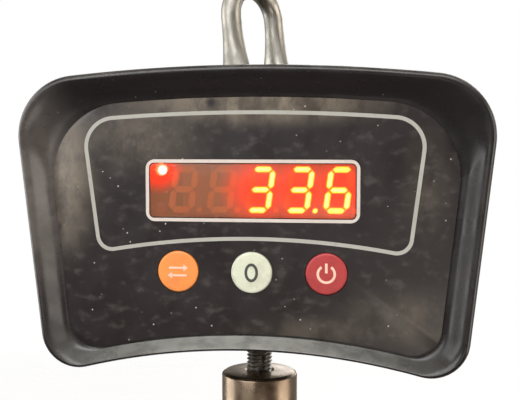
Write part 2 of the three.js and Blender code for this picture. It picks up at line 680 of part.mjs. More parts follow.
function batteryParts() {
  const tray = block(-40, 40, 11.2, 19, BATTERY_Z[0] - 11, BATTERY_Z[1] + 11);
  const channels = BATTERY_Z.map((z) =>
    rodX(BATTERY_RADIUS + 0.4, -37, 37, 20).translate(0, BATTERY_Y, z));
  place('battery_tray', cut(tray, ...channels), darkPlastic);
  BATTERY_Z.forEach((z, i) => {
    const cell = join(rodX(BATTERY_RADIUS, -32.5, 31.5, 20), rodX(3, 31, 32.8, 12));
    place(`battery_${i + 1}`, cell, cellWrap, { y: BATTERY_Y, z });
  });
  for (const [i, side] of [-1, 1].entries()) {
    place(`battery_cover_screw_${i + 1}`, countersunkScrew(...DOOR_SCREW), plated,
      { x: side * DOOR_SCREW_X, z: DOOR.z });
  }
}

function chargingSocket() {
  const barrel = rodY(SOCKET.radius, BACK_Y - WALL - 2, BACK_Y - 0.4, 20);
  const body = block(-7, 7, BACK_Y - WALL - 13, BACK_Y - WALL - GAP, -5.5, 5.5);
  return cut(join(body, barrel), rodY(SOCKET.bore, BACK_Y - 7, BACK_Y + 2, 16));
}

// A lead through hand-placed points, clipped between two pieces inside the housing.
function lead(points, radius) {
  const curve = new THREE.CatmullRomCurve3(points.map(([x, y, z]) => new THREE.Vector3(x, y, z)));
  const circle = new THREE.Shape();
  circle.absarc(0, 0, radius, 0, 2 * Math.PI);
  return new THREE.ExtrudeGeometry(circle, { steps: 18, curveSegments: 4, extrudePath: curve });
}

function wiringParts() {
  const cellEdge = -CELL.width / 2;
  const boardBack = BOARD_Y + BOARD_THICKNESS;
  place('charging_socket', chargingSocket(), darkPlastic, { x: SOCKET.x, z: SOCKET.z });
  place('load_cell_cable', lead([
    [cellEdge - GAP, 0, 2], [cellEdge - 7, 0, 2], [cellEdge - 14, -1, -1], [cellEdge - 18, -6, -7],
    [cellEdge - 19, -10, -9], [cellEdge - 19, boardBack + 2 * GAP, -9],
  ], 1.6), rubber);
  place('battery_lead', lead([
    [-40.6, 15, -12], [-45, 15, -12], [-52, 10, -15], [-56, 0, -19], [-57, -8, -20],
    [-57, boardBack + 2 * GAP, -20],
  ], 1.2), rubber);
}

// ---- Swivel -------------------------------------------------------------------------------

const flangeBottom = SWIVEL_TOP - CAP_FLANGE_HEIGHT;
const swivelFloor = SWIVEL_BOTTOM + 6;
const shankClearance = SHANK_RADIUS + 0.7;

function swivelBody() {
  const rimTop = SWIVEL_TOP - 0.8;
  const seat = CAP_FLANGE_RADIUS + GAP;
  return turned([
    [shankClearance, SWIVEL_BOTTOM], [SWIVEL_RADIUS - 2, SWIVEL_BOTTOM],
    [SWIVEL_RADIUS, SWIVEL_BOTTOM + 2], [SWIVEL_RADIUS, rimTop - 0.4],
    [SWIVEL_RADIUS - 0.4, rimTop], [seat, rimTop], [seat, flangeBottom - GAP],
    [SWIVEL_BORE, flangeBottom - GAP], [SWIVEL_BORE, swivelFloor],
    [shankClearance, swivelFloor], [shankClearance, SWIVEL_BOTTOM],
  ], 28);
}

function swivelCap() {
  const [bore, plug] = [STUD_RADIUS + GAP, SWIVEL_BORE - GAP];
  const bottom = SWIVEL_TOP - CAP_DEPTH;
  return turned([
    [bore, bottom], [plug, bottom], [plug, flangeBottom], [CAP_FLANGE_RADIUS, flangeBottom],
    [CAP_FLANGE_RADIUS, SWIVEL_TOP - 0.5], [CAP_FLANGE_RADIUS - 0.5, SWIVEL_TOP],
    [bore, SWIVEL_TOP + 0.6], [bore, bottom],
  ], 28);
}

// From the cup's floor upwards: lower race, balls, upper race, and the nut that rides on them.
function swivelParts() {
  const lowerRace = swivelFloor + GAP;
  const cage = lowerRace + RACE_HEIGHT + GAP;
  const upperRace = cage + CAGE_HEIGHT + GAP;
  const nut = upperRace + RACE_HEIGHT + GAP;
  const nutTop = nut + HOOK_NUT_HEIGHT;
  const pinZ = nut + HOOK_NUT_HEIGHT / 2;
  const pinHole = rodX(1.8, -20, 20, 12).translate(0, 0, pinZ);
  const lower = ring(shankClearance, SWIVEL_BORE - GAP, lowerRace, lowerRace + RACE_HEIGHT);
  const upper = ring(SHANK_RADIUS + GAP, SWIVEL_BORE - 0.8, upperRace, upperRace + RACE_HEIGHT);
  const hookNut = cut(hexNut(24, SHANK_RADIUS + GAP, nut, nutTop), pinHole);
  place('swivel_body', swivelBody(), brightSteel);
  place('swivel_cap', swivelCap(), brightSteel);
  place('lower_race', lower, brightSteel);
  place('ball_cage', ballCage(cage, cage + CAGE_HEIGHT), brightSteel);
  place('upper_race', upper, brightSteel);
  place('hook_nut', hookNut, brightSteel);
  place('hook_nut_pin', rodX(1.5, -11.5, 11.5, 12), brightSteel, { z: pinZ });
  place('hook', hook(nutTop + 1.5, pinHole), brightSteel);
}

// Thin cage ring with its balls standing proud above and below.
function ballCage(bottom, top) {
  const middle = (bottom + top) / 2;
  const radius = (SHANK_RADIUS + SWIVEL_BORE) / 2;
  const ballRadius = (top - bottom) / 2;
  const cage = ring(radius - 2.4, radius + 2.4, middle - 0.7, middle + 0.7, 24);
  const balls = [];
  for (let i = 0; i < BALLS; i += 1) {
    const angle = (2 * Math.PI * i) / BALLS;
    balls.push(new THREE.SphereGeometry(ballRadius, 6, 4)
      .translate(radius * Math.cos(angle), radius * Math.sin(angle), middle));
  }
  return join(cage, ...balls);
}

// ---- Hook ---------------------------------------------------------------------------------

// A solid swept along a flat curve in the X-Z plane, with elliptical sections whose half depth
// (in the plane) and half width (across it) vary along the curve.
function sweepXZ(curve, steps, sides, halfDepth, halfWidth) {
  const positions = [];
  const index = [];
  for (let step = 0; step <= steps; step += 1) {
    const t = step / steps;
    const at = curve.getPointAt(t);
    const along = curve.getTangentAt(t);
    const inward = new THREE.Vector2(along.y, -along.x);
    for (let side = 0; side < sides; side += 1) {
      const angle = (2 * Math.PI * side) / sides;
      const out = halfDepth(t) * Math.cos(angle);
      positions.push(at.x + inward.x * out, halfWidth(t) * Math.sin(angle), at.y + inward.y * out);
    }
  }
  for (let step = 0; step < steps; step += 1) {
    for (let side = 0; side < sides; side += 1) {
      const [a, b] = [step * sides + side, step * sides + ((side + 1) % sides)];
      index.push(a, b, a + sides, b, b + sides, a + sides);
    }
  }
  for (let side = 1; side < sides - 1; side += 1) {
    const last = steps * sides;
    index.push(0, side + 1, side);
    index.push(last, last + side, last + side + 1);
  }
  const geometry = new THREE.BufferGeometry();
  geometry.setAttribute('position', new THREE.Float32BufferAttribute(positions, 3));
  geometry.setIndex(index);
  return geometry;
}

// The hook's centre line: down from the shank, round the bowl and up to the flared point.
function hookCurve() {
  const reach = BOWL.radius + 8;
  const points = [
    new THREE.Vector2(0, SWIVEL_BOTTOM - 3),
    new THREE.Vector2(3, SWIVEL_BOTTOM - 13),
    new THREE.Vector2(13, BOWL.z + 22),
  ];
  for (let i = 0; i <= 8; i += 1) {
    const angle = THREE.MathUtils.degToRad(30 - i * 26);
    points.push(new THREE.Vector2(BOWL.x + reach * Math.cos(angle), BOWL.z + reach * Math.sin(angle)));
  }
  points.push(new THREE.Vector2(BOWL.x - reach - 3.5, BOWL.z + 16));
  return new THREE.SplineCurve(points);
}

function hook(shankTop, pinHole) {
  const swell = (t) => Math.sin(Math.PI * Math.min(1, t / 0.96)) ** 0.8;
  const halfDepth = (t) => 4.2 + 5.0 * swell(t) + 2.4 * (1 - t);
  const halfWidth = (t) => 3.8 + 3.4 * swell(t) + 2.6 * (1 - t);
  const arm = sweepXZ(hookCurve(), 28, 10, halfDepth, halfWidth);
  const shank = turned([
    [0, SWIVEL_BOTTOM - 8], [11.5, SWIVEL_BOTTOM - 8], [12.5, SWIVEL_BOTTOM - 3],
    [11.5, SWIVEL_BOTTOM - 0.5], [SHANK_RADIUS, SWIVEL_BOTTOM - 0.5], [SHANK_RADIUS, shankTop - 1],
    [SHANK_RADIUS - 1, shankTop], [0, shankTop],
  ], 20);
  const lug = block(LATCH_PIVOT.x - 3.5, 4, -2.5, 2.5, LATCH_PIVOT.z - 3.5, LATCH_PIVOT.z + 7);
  const pinBore = rodY(LATCH_PIN_RADIUS + GAP, -5, 5, 14)
    .translate(LATCH_PIVOT.x, 0, LATCH_PIVOT.z);
  return cut(join(arm, shank, lug), pinBore, pinHole);
}

// ---- Safety latch -------------------------------------------------------------------------

// Stamped latch: two cheeks beside the lug, joined by a web that runs out to the hook's point.
function safetyLatch() {
  const outlineShape = new THREE.Shape();
  outlineShape.absarc(0, 0, 4.6, Math.PI * 0.42, Math.PI * 1.5);
  outlineShape.lineTo(21.1, -2.2);
  outlineShape.lineTo(21.6, 0.2);
  outlineShape.lineTo(1.5, 4.4);
  const body = plateXZ(outlineShape, -7.5, 7.5, 6);
  const slot = block(-8, 10, -6, 6, -8, 2.6);
  const lugSlot = block(-8, 7, -6, 6, -8, 8);
  const hollow = block(8, 30, -6, 6, -8, -0.8);
  const bore = rodY(LATCH_PIN_RADIUS + GAP, -10, 10, 14);
  return cut(body, slot, lugSlot, hollow, bore);
}

function latchParts() {
  const at = LATCH_PIVOT;
  const angle = Math.atan2(LATCH_REACH.z, LATCH_REACH.x);
  const [radius, head] = [LATCH_PIN_RADIUS, LATCH_PIN_RADIUS + 1];
  const pin = turnedY([
    [0, -9], [head, -9], [head, -7.8], [radius, -7.8], [radius, 7.8], [head, 7.8], [head, 9], [0, 9],
  ], 16);
  const spring = ring(2.4, 3.6, 2.9, 5.6, 20).rotateX(-Math.PI / 2);
  place('safety_latch', safetyLatch().rotateY(-angle), brightSteel, at);
  place('latch_pin', pin, brightSteel, at);
  place('latch_spring', spring, brightSteel, at);
}

// ---- Assembly -----------------------------------------------------------------------------

shackleParts();
loadTrain();
housingParts();
displayParts();
boardParts();
batteryParts();
wiringParts();
swivelParts();
latchParts();

export default scale;
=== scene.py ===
"""The crane scale's looks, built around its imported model.

Shapes are written in millimetres, with heights measured from the middle of the housing, and
to_row() takes them to the row's frame. The display faces -Y.
"""

from math import atan, atan2, cos, dist, hypot, pi, radians, sin, sqrt, tan, tau

import bmesh
import bpy
from mathutils import Matrix, Vector


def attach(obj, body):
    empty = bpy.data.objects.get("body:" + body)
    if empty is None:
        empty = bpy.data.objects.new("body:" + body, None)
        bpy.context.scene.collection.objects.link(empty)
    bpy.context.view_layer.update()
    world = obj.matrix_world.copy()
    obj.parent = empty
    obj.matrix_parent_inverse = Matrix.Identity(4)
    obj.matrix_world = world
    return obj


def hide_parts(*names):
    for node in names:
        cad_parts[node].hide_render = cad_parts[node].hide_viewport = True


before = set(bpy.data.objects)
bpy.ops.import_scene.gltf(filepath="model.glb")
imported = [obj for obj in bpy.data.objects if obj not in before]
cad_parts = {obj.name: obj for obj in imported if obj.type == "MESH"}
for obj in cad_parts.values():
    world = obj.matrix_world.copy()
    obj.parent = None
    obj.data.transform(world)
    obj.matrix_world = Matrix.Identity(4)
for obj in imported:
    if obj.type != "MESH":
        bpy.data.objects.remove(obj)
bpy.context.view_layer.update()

# ---- Driving dimensions, the same as the model's ----

MM = 0.001

FRONT_SEAM_Y, REAR_SEAM_Y = -4.8, -3.2
RIM_Y, PANEL_Y, BACK_Y = -35, -27, 35
RIM_ROUND, BACK_ROUND, BACK_TAPER, WALL = 3.5, 8, 2.5, 3
TOP_HEIGHT, ARCH_HEIGHT = 61, -64.3
CORNERS = (27, 16.8)
PANEL_INSET, PANEL_CORNERS = (12.8, 11.2, 5.6), (34, 13)
CREST_INSET, CREST_CORNERS = (2.4, 2.2, 1.4), (25, 15.6)
FILM_Y = PANEL_Y - 0.7               # front of the printed film
TOP_OPENING, BOTTOM_OPENING = 26, 12.5
WINDOW_WIDTH, WINDOW_HEIGHT, WINDOW_Z = 91.4, 23.8, 6
BUTTON_Z, BUTTON_PITCH, BUTTON_RADIUS = -30.2, 33.1, 9.2
HOUSING_SCREWS = [(-84, 32), (84, 32), (-79, -53), (79, -53)]
SCREW_SEAT_Y = 8
DOOR_Z, DOOR_WIDTH, DOOR_HEIGHT = -5, 98, 46
DOOR_SCREWS = [(-44, DOOR_Z), (44, DOOR_Z)]
BRACKET_SCREWS = [(-16, 37), (16, 37)]
SOCKET_X, SOCKET_Z = -70, -38

PIN_Z, PIN_RADIUS = 45, 5.5
BOW_TURN, BOW_LEAN = radians(55), radians(-6)
BOW_ROD, BOW_INSIDE, BOW_HEIGHT, EAR_GAP, EAR_RADIUS, EAR_FLARE = 4.6, 20, 49.5, 18, 12, 0.28
STUD_RADIUS, STUD_PITCH = 6, 1.75
SWIVEL_RADIUS, SWIVEL_TOP, SWIVEL_BOTTOM, SHANK_RADIUS = 17.8, -81, -128, 7.8
SHANK_RISE = 30.3                    # the hook's shank above the cup's foot, through its nut
BOWL_Z, BOWL_RADIUS = -173, 15
LATCH_X, LATCH_Z = -9.5, -142


# The shackle is drawn about its pin, leans over on it, and is turned about the vertical. The
# row's origin is the inside of the shackle's crown.
SHACKLE = (
    Matrix.Translation((0, 0, PIN_Z))
    @ Matrix.Rotation(BOW_TURN, 4, "Z")
    @ Matrix.Rotation(BOW_LEAN, 4, "X")
)
CROWN = SHACKLE @ Vector((0, 0, BOW_HEIGHT))


def to_row(point):
    return (Vector(point) - CROWN) * MM


# ---- Camera, light and floor ----


def aim(obj, target):
    direction = Vector(target) - obj.location
    obj.rotation_euler = direction.to_track_quat("-Z", "Y").to_euler()


def adjust(thing, **settings):
    for name, value in settings.items():
        setattr(thing, name, value)


def new_object(name, data):
    obj = bpy.data.objects.new(name, data)
    bpy.context.scene.collection.objects.link(obj)
    return obj


def make_camera():
    data = bpy.data.cameras.new("camera")
    adjust(data, lens=63.85, sensor_width=36, clip_start=0.01)
    camera = new_object("camera", data)
    camera.location = to_row((55.5, -429.05, 29.1))
    aim(camera, to_row((0.22, 0, 0.18)))
    bpy.context.scene.camera = camera


def area_light(name, location, width, height, power, colour=(1, 1, 1)):
    data = bpy.data.lights.new(name, "AREA")
    adjust(data, shape="RECTANGLE", size=width, size_y=height, energy=power, color=colour)
    light = new_object(name, data)
    light.location = location
    aim(light, to_row((0, 0, 0)))


def make_lights():
    area_light("window_left", (-0.80, -1.35, 0.62), 1.25, 1.15, 18)
    area_light("ceiling", (0.0, -0.75, 1.05), 1.3, 0.7, 15)
    area_light("side_right", (1.3, -0.15, -0.1), 0.9, 1.4, 13, (1, 0.93, 0.84))
    area_light("side_left", (-1.3, 0.05, 0.1), 0.9, 1.4, 14)
    area_light("low_right", (0.35, -1.3, -0.55), 0.5, 0.5, 2, (1, 0.93, 0.86))
    area_light("behind", (0.5, 1.5, 0.5), 1.6, 1.2, 14)


def make_world():
    """White to the camera. To reflections and the fill light it is a dim warm room in front of
    the object and a pale backdrop behind it."""
    world = bpy.data.worlds.new("studio")
    world.use_nodes = True
    nodes = world.node_tree.nodes
    room, output = nodes["Background"], nodes["World Output"]
    direction, axes, shade, backdrop, path, mix = (
        nodes.new(f"ShaderNode{kind}")
        for kind in ("TexCoord", "SeparateXYZ", "ValToRGB", "Background", "LightPath", "MixShader")
    )
    front, back = shade.color_ramp.elements
    front.position, front.color = 0.1, (0.15, 0.125, 0.11, 1)
    back.position, back.color = 0.75, (0.36, 0.34, 0.32, 1)
    backdrop.inputs["Color"].default_value = (1, 1, 1, 1)
    for start, end in (
        (direction.outputs["Generated"], axes.inputs["Vector"]),
        (axes.outputs["Y"], shade.inputs["Fac"]),
        (shade.outputs["Color"], room.inputs["Color"]),
        (path.outputs["Is Camera Ray"], mix.inputs["Fac"]),
        (room.outputs["Background"], mix.inputs[1]),
        (backdrop.outputs["Background"], mix.inputs[2]),
        (mix.outputs["Shader"], output.inputs["Surface"]),
    ):
        world.node_tree.links.new(start, end)
    bpy.context.scene.world = world


def make_floor():
    """A round pale floor that fades out into the white backdrop."""
    radius, low = 1.6, -0.345
    mesh = bpy.data.meshes.new("floor")
    rim = [
        (radius * cos(a), radius * sin(a), low)
        for a in (tau * i / 96 for i in range(96))
    ]
    mesh.from_pydata(rim, [], [tuple(range(96))])
    floor = new_object("floor", mesh)
    surface = Surface("floor_pale", (0.88, 0.88, 0.87), 0.6)
    away = surface.length(surface.coordinates)
    surface.set("Alpha", surface.band(away, 0.42, 0.95, 1, 0))
    mesh.materials.append(surface.material)
    floor.visible_glossy = False


# ---- Materials ----


class Surface:
    """A procedural material. Sizes in its textures are millimetres on the object."""

    def __init__(self, name, colour, roughness, metallic=0.0):
        self.material = bpy.data.materials.new(name)
        self.material.use_nodes = True
        self.tree = self.material.node_tree
        self.shader = self.tree.nodes["Principled BSDF"]
        place = self.node("TexCoord", {})
        self.coordinates, self.facing = place.outputs["Object"], place.outputs["Normal"]
        self.colour, self.normal = colour, None
        self.set("Base Color", colour)
        self.set("Roughness", roughness)
        self.set("Metallic", metallic)

    def feed(self, socket, value):
        if isinstance(value, bpy.types.NodeSocket):
            self.tree.links.new(value, socket)
        elif socket.type == "RGBA":
            socket.default_value = (*value, 1)
        else:
            socket.default_value = value

    def set(self, name, value):
        self.feed(self.shader.inputs[name], value)

    def node(self, kind, inputs, **settings):
        """A new node with its settings, and with a value or another node's output at each input."""
        node = self.tree.nodes.new(f"ShaderNode{kind}")
        adjust(node, **settings)
        for name, value in inputs.items():
            self.feed(node.inputs[name], value)
        return node

    def math(self, operation, first, second):
        return self.node("Math", {0: first, 1: second}, operation=operation).outputs["Value"]

    def times(self, *factors):
        product = factors[0]
        for factor in factors[1:]:
            product = self.math("MULTIPLY", product, factor)
        return product

    def vector(self, operation, first, second):
        node = self.node("VectorMath", {0: first, 1: second}, operation=operation)
        return node.outputs["Vector"]

    def length(self, vector):
        return self.node("VectorMath", {0: vector}, operation="LENGTH").outputs["Value"]

    def height(self, vector):
        return self.node("SeparateXYZ", {"Vector": vector}).outputs["Z"]

    def band(self, value, low, high, start, end):
        """Goes smoothly from start to end as the value goes from low to high."""
        ends = {"From Min": low, "From Max": high, "To Min": start, "To Max": end}
        reach = self.node("MapRange", {"Value": value, **ends}, interpolation_type="SMOOTHSTEP")
        return reach.outputs["Result"]

    def stretched(self, size, stretch=(1, 1, 1)):
        scale = [1 / (size * MM * s) for s in stretch]
        return self.node("Mapping", {"Vector": self.coordinates, "Scale": scale}).outputs["Vector"]

    def noise(self, size, detail=4.0, stretch=(1, 1, 1), roughness=0.55):
        shape = {"Scale": 1, "Detail": detail, "Roughness": roughness}
        noise = self.node("TexNoise", {"Vector": self.stretched(size, stretch), **shape})
        return noise.outputs["Fac"]

    def patches(self, size, detail, low, high, amount):
        """Soft patches, from 0 where the noise is low up to an amount where it is high."""
        return self.band(self.noise(size, detail), low, high, 0, amount)

    def specks(self, size, reach):
        """Small round specks, one to a cell of this size."""
        cells = self.node("TexVoronoi", {"Vector": self.stretched(size), "Scale": 1})
        return self.band(cells.outputs["Distance"], reach, reach * 0.6, 0, 1)

    def rings(self, pitch):
        """Fine rings about the Z axis, as a lathe leaves them on an end face."""
        away = self.length(self.vector("MULTIPLY", self.coordinates, (1, 1, 0)))
        count = self.times(away, 1 / (pitch * MM))
        noise = self.node("TexNoise", {"W": count, "Scale": 1, "Detail": 3}, noise_dimensions="1D")
        return noise.outputs["Fac"]

    def dust_and_light_from_above(self):
        """1 on faces that look up, 0 on those that look down: where dust settles and where light from
        above is painted.
        """
        return self.band(self.height(self.facing), -0.2, 0.9, 0, 1)

    def below(self, height, blur):
        """1 under a height on the housing, fading to 0 above it."""
        low, high = (to_row((0, 0, z)).z for z in (height, height + blur))
        return self.band(self.height(self.coordinates), low, high, 1, 0)

    def near(self, point, reach, stretch=(1, 1, 1)):
        """1 at a point given in millimetres, falling to 0 at its reach."""
        away = self.vector("SUBTRACT", self.coordinates, to_row(point))
        return self.band(self.length(self.vector("DIVIDE", away, stretch)), 0, reach * MM, 1, 0)

    def mixed(self, factor, first, second):
        """A colour on the way from the first to the second."""
        return self.node("Mix", {0: factor, 6: first, 7: second}, data_type="RGBA").outputs[2]

    def tint(self, factor, colour):
        """Mixes a colour over what the base colour is so far."""
        self.colour = self.mixed(factor, self.colour, colour)
        self.set("Base Color", self.colour)

    def roughen(self, size, detail, low, high):
        """Makes the roughness wander between two values."""
        self.set("Roughness", self.band(self.noise(size, detail), 0.3, 0.7, low, high))

    def grain(self, size, detail, depth, stretch=(1, 1, 1)):
        self.bump(self.noise(size, detail, stretch), depth)

    def bump(self, height, depth):
        """Adds relief of this depth in millimetres to what there is so far."""
        under = {"Normal": self.normal} if self.normal else {}
        bump = self.node("Bump", {"Distance": depth * MM, "Height": height, **under})
        self.normal = bump.outputs["Normal"]
        self.set("Normal", self.normal)


def housing_plastic():
    """Black ABS. Faces that look up are paler, partly dust and partly painted light from above, most of
    all low in the dish, where it is dust and a painted highlight; a painted highlight lies at the left.
    """
    s = Surface("housing_plastic", (0.012, 0.010, 0.0105), 0.3)
    # Pale tint on faces that look up: partly dust, partly painted light from above.
    dust = s.times(s.band(s.noise(24, 5), 0.35, 0.75, 0.15, 1), s.noise(1.2, 3), s.dust_and_light_from_above())
    s.tint(s.times(dust, 0.38), (0.36, 0.34, 0.30))
    clouds = s.band(s.noise(8, 4), 0.3, 0.6, 0.6, 1)
    # Pale band on the up-facing slope low in the dish: partly settled dust, partly a painted highlight.
    low_dust_and_painted_highlight = s.times(s.dust_and_light_from_above(), s.below(-52, 8), s.near((-8, RIM_Y, -62), 110), clouds)
    s.tint(s.times(low_dust_and_painted_highlight, 0.7), (0.36, 0.36, 0.33))
    # Painted highlight down the left side of the housing, laid on as a pale tint.
    painted_left_highlight = s.times(s.near((-97, RIM_Y, 6), 66, (0.4, 1, 1)), clouds)
    s.tint(s.times(painted_left_highlight, 0.3), (0.32, 0.28, 0.25))
    s.tint(s.times(s.specks(3.2, 0.11), s.band(s.noise(9), 0.5, 0.7, 0, 0.5)), (0.4, 0.37, 0.33))
    s.set("Roughness", s.band(s.noise(14, 6), 0.3, 0.75, 0.22, 0.42))
    s.set("Specular IOR Level", 0.42)
    s.grain(0.45, 2, 0.004)
    s.grain(5, 2, 0.02)
    return s.material


def rear_plastic():
    s = Surface("textured_plastic", (0.014, 0.013, 0.0135), 0.45)
    dust = s.times(s.band(s.noise(30, 5), 0.4, 0.75, 0.1, 1), s.noise(1.0, 3))
    s.tint(s.times(dust, 0.14), (0.34, 0.31, 0.27))
    s.set("Roughness", s.band(s.noise(10, 6), 0.3, 0.75, 0.38, 0.55))
    s.grain(0.7, 3, 0.03)
    return s.material


def panel_film():
    """Black printed film, with pale patches round its edge, partly dust and partly painted reflection,
    wiped in smears, with a few dark stains.
    """
    s = Surface("panel_film", (0.016, 0.0125, 0.0125), 0.2)
    blotches = s.band(s.noise(13, 6, (1, 1, 1.5), 0.65), 0.34, 0.62, 0.3, 1)
    smears = s.band(s.noise(5, 6, (1.3, 1, 0.9), 0.6), 0.5, 0.72, 0, 1)
    # Pale patches, partly dust and partly painted reflection: the strongest, at the left and along the
    # top, stand where lamps are mirrored.
    dust = 0.0
    for x, z, reach, stretch, amount in DUST_AND_REFLECTION_PATCHES:
        patch = s.times(s.near((x, FILM_Y, z), reach, stretch), amount)
        dust = s.math("MAXIMUM", dust, patch)
    s.tint(s.times(dust, blotches), (0.40, 0.33, 0.24))
    s.tint(s.times(smears, 0.05), (0.5, 0.45, 0.4))
    s.tint(s.times(s.specks(4.4, 0.10), s.band(s.noise(17), 0.48, 0.6, 0, 0.8)), (0.5, 0.46, 0.4))
    for x, z, reach in STAINS:
        s.tint(s.times(s.near((x, FILM_Y, z), reach), 0.97), (0.008, 0.006, 0.006))
    dullness = s.math("ADD", s.times(blotches, 0.14), s.times(smears, 0.08))
    s.set("Roughness", s.math("ADD", dullness, 0.24))
    s.grain(6, 3, 0.02)
    s.grain(0.4, 2, 0.0015)
    return s.material


def print_ink(name, colour):
    s = Surface(name, colour, 0.42)
    s.tint(s.patches(1.4, 5, 0.5, 0.75, 0.35), tuple(c * 0.62 for c in colour))
    s.tint(s.patches(18, 4, 0.45, 0.75, 0.3), tuple(c * 0.75 for c in colour))
    s.grain(0.3, 2, 0.004)
    return s.material


def window_lens():
    """Red filter, a dull brown, with glow painted on as its own light: strong round the lit digits and
    the lit lamp, faint elsewhere.
    """
    s = Surface("window_lens", (0.29, 0.135, 0.07), 0.2)
    s.tint(s.patches(22, 4, 0.4, 0.7, 0.35), (0.34, 0.18, 0.10))
    painted_glow = s.times(s.near((LAMP_X, FILM_Y, LAMP_Z[0]), 12), 1.6)
    for x in LIT_DIGIT_X:
        painted_glow = s.math("MAXIMUM", painted_glow, s.near((x, FILM_Y, DIGIT_Z), 21))
    s.tint(s.math("MINIMUM", painted_glow, 0.85), (0.5, 0.03, 0.01))
    # Painted glow: the lens gives off light of its own.
    s.set("Emission Color", (1.0, 0.028, 0.008))
    s.set("Emission Strength", s.math("ADD", s.times(painted_glow, 1.1), 0.10))
    s.set("Alpha", 0.42)
    s.grain(3, 2, 0.006)
    s.grain(0.35, 2, 0.001)
    return s.material


def lit(name, core, edge, strength):
    """Light-emitting face, a little uneven as a real segment is."""
    s = Surface(name, edge, 0.4)
    s.set("Emission Color", s.mixed(s.noise(1.6, 2), core, edge))
    s.set("Emission Strength", strength)
    return s.material


def lit_lamp():
    """White-hot beside the lamp's middle, where its chip sits, and orange towards the rim."""
    s = Surface("lit_lamp", (0.9, 0.5, 0.2), 0.4)
    chip = s.near((LAMP_X + 0.9, FILM_Y + 3, LAMP_Z[0] - 0.3), 3.3)
    white_hot = s.math("MINIMUM", s.times(chip, 1.9), 1)
    s.set("Emission Color", s.mixed(white_hot, (1.0, 0.22, 0.02), (1.0, 0.93, 0.75)))
    s.set("Emission Strength", s.math("ADD", s.times(chip, 5), 1.6))
    return s.material


def moulded(name, colour, roughness=0.5, grain=0.012):
    """Plain moulded plastic or board, with slight mottling and grain."""
    s = Surface(name, colour, roughness)
    s.tint(s.patches(6, 5, 0.4, 0.75, 0.5), tuple(min(1, c * 1.5 + 0.008) for c in colour))
    s.roughen(3, 4, roughness - 0.08, roughness + 0.12)
    s.grain(0.5, 3, grain)
    return s.material


def key_plastic(name, colour, shade):
    """Translucent silicone key, worn darker in patches."""
    s = Surface(name, colour, 0.42)
    s.tint(s.patches(5, 6, 0.42, 0.72, 0.55), shade)
    s.tint(s.patches(0.8, 4, 0.55, 0.8, 0.35), shade)
    s.roughen(4, 4, 0.34, 0.52)
    s.set("Subsurface Weight", 0.08)
    s.set("Subsurface Radius", (0.002, 0.001, 0.0008))
    s.grain(0.5, 3, 0.01)
    return s.material


def rubber():
    s = Surface("seal_rubber", (0.018, 0.018, 0.018), 0.8)
    s.tint(s.patches(2, 5, 0.45, 0.75, 0.4), (0.09, 0.085, 0.08))
    s.grain(0.4, 3, 0.02)
    return s.material


def plated_steel(name, colour, roughness, blotch=9):
    """Zinc-plated forging: clouded, with duller patches and small dents."""
    s = Surface(name, colour, roughness, 1.0)
    clouds = s.noise(blotch, 5)
    s.tint(s.band(clouds, 0.35, 0.7, 0, 0.55), tuple(c * 0.66 for c in colour))
    s.tint(s.patches(2.1, 6, 0.6, 0.8, 0.6), (0.27, 0.23, 0.19))
    s.set("Roughness", s.band(clouds, 0.3, 0.7, roughness - 0.08, roughness + 0.16))
    s.grain(3.2, 4, 0.05)
    s.grain(0.5, 3, 0.006)
    return s.material


def turned_steel():
    """Bright turned steel with lathe marks, faintly browned."""
    s = Surface("turned_steel", (0.25, 0.19, 0.135), 0.32, 1.0)
    s.tint(s.patches(11, 5, 0.4, 0.72, 0.6), (0.17, 0.12, 0.08))
    s.tint(s.patches(0.9, 5, 0.62, 0.82, 0.5), (0.14, 0.10, 0.08))
    s.roughen(7, 5, 0.24, 0.38)
    s.grain(0.35, 4, 0.006, (60, 60, 1))
    s.bump(s.rings(0.5), 0.03)
    s.grain(9, 2, 0.03)
    return s.material


def thread_steel():
    s = Surface("thread_steel", (0.30, 0.28, 0.25), 0.36, 1.0)
    s.tint(s.patches(2, 5, 0.42, 0.7, 0.8), (0.07, 0.06, 0.05))
    s.roughen(1.5, 4, 0.28, 0.5)
    s.grain(0.3, 3, 0.01)
    return s.material


def milled_aluminium():
    s = Surface("milled_aluminium", (0.70, 0.71, 0.73), 0.34, 1.0)
    s.tint(s.patches(8, 5, 0.4, 0.7, 0.4), (0.5, 0.5, 0.52))
    s.grain(0.4, 3, 0.008, (40, 1, 1))
    s.roughen(3, 4, 0.28, 0.42)
    return s.material


def circuit_board():
    s = Surface("circuit_board", (0.012, 0.10, 0.035), 0.42)
    traces = s.node("TexBrick", {"Vector": s.stretched(4), "Mortar Size": 0.06})
    s.tint(s.band(traces.outputs["Fac"], 0.2, 0.8, 0, 0.55), (0.03, 0.22, 0.08))
    s.tint(s.specks(5, 0.12), (0.6, 0.58, 0.5))
    s.grain(0.5, 2, 0.01)
    return s.material


# ---- Shapes ----


def arc(centre, radius, start, end, steps):
    angles = [start + (end - start) * i / steps for i in range(steps + 1)]
    return [(centre[0] + radius * cos(a), centre[1] + radius * sin(a)) for a in angles]


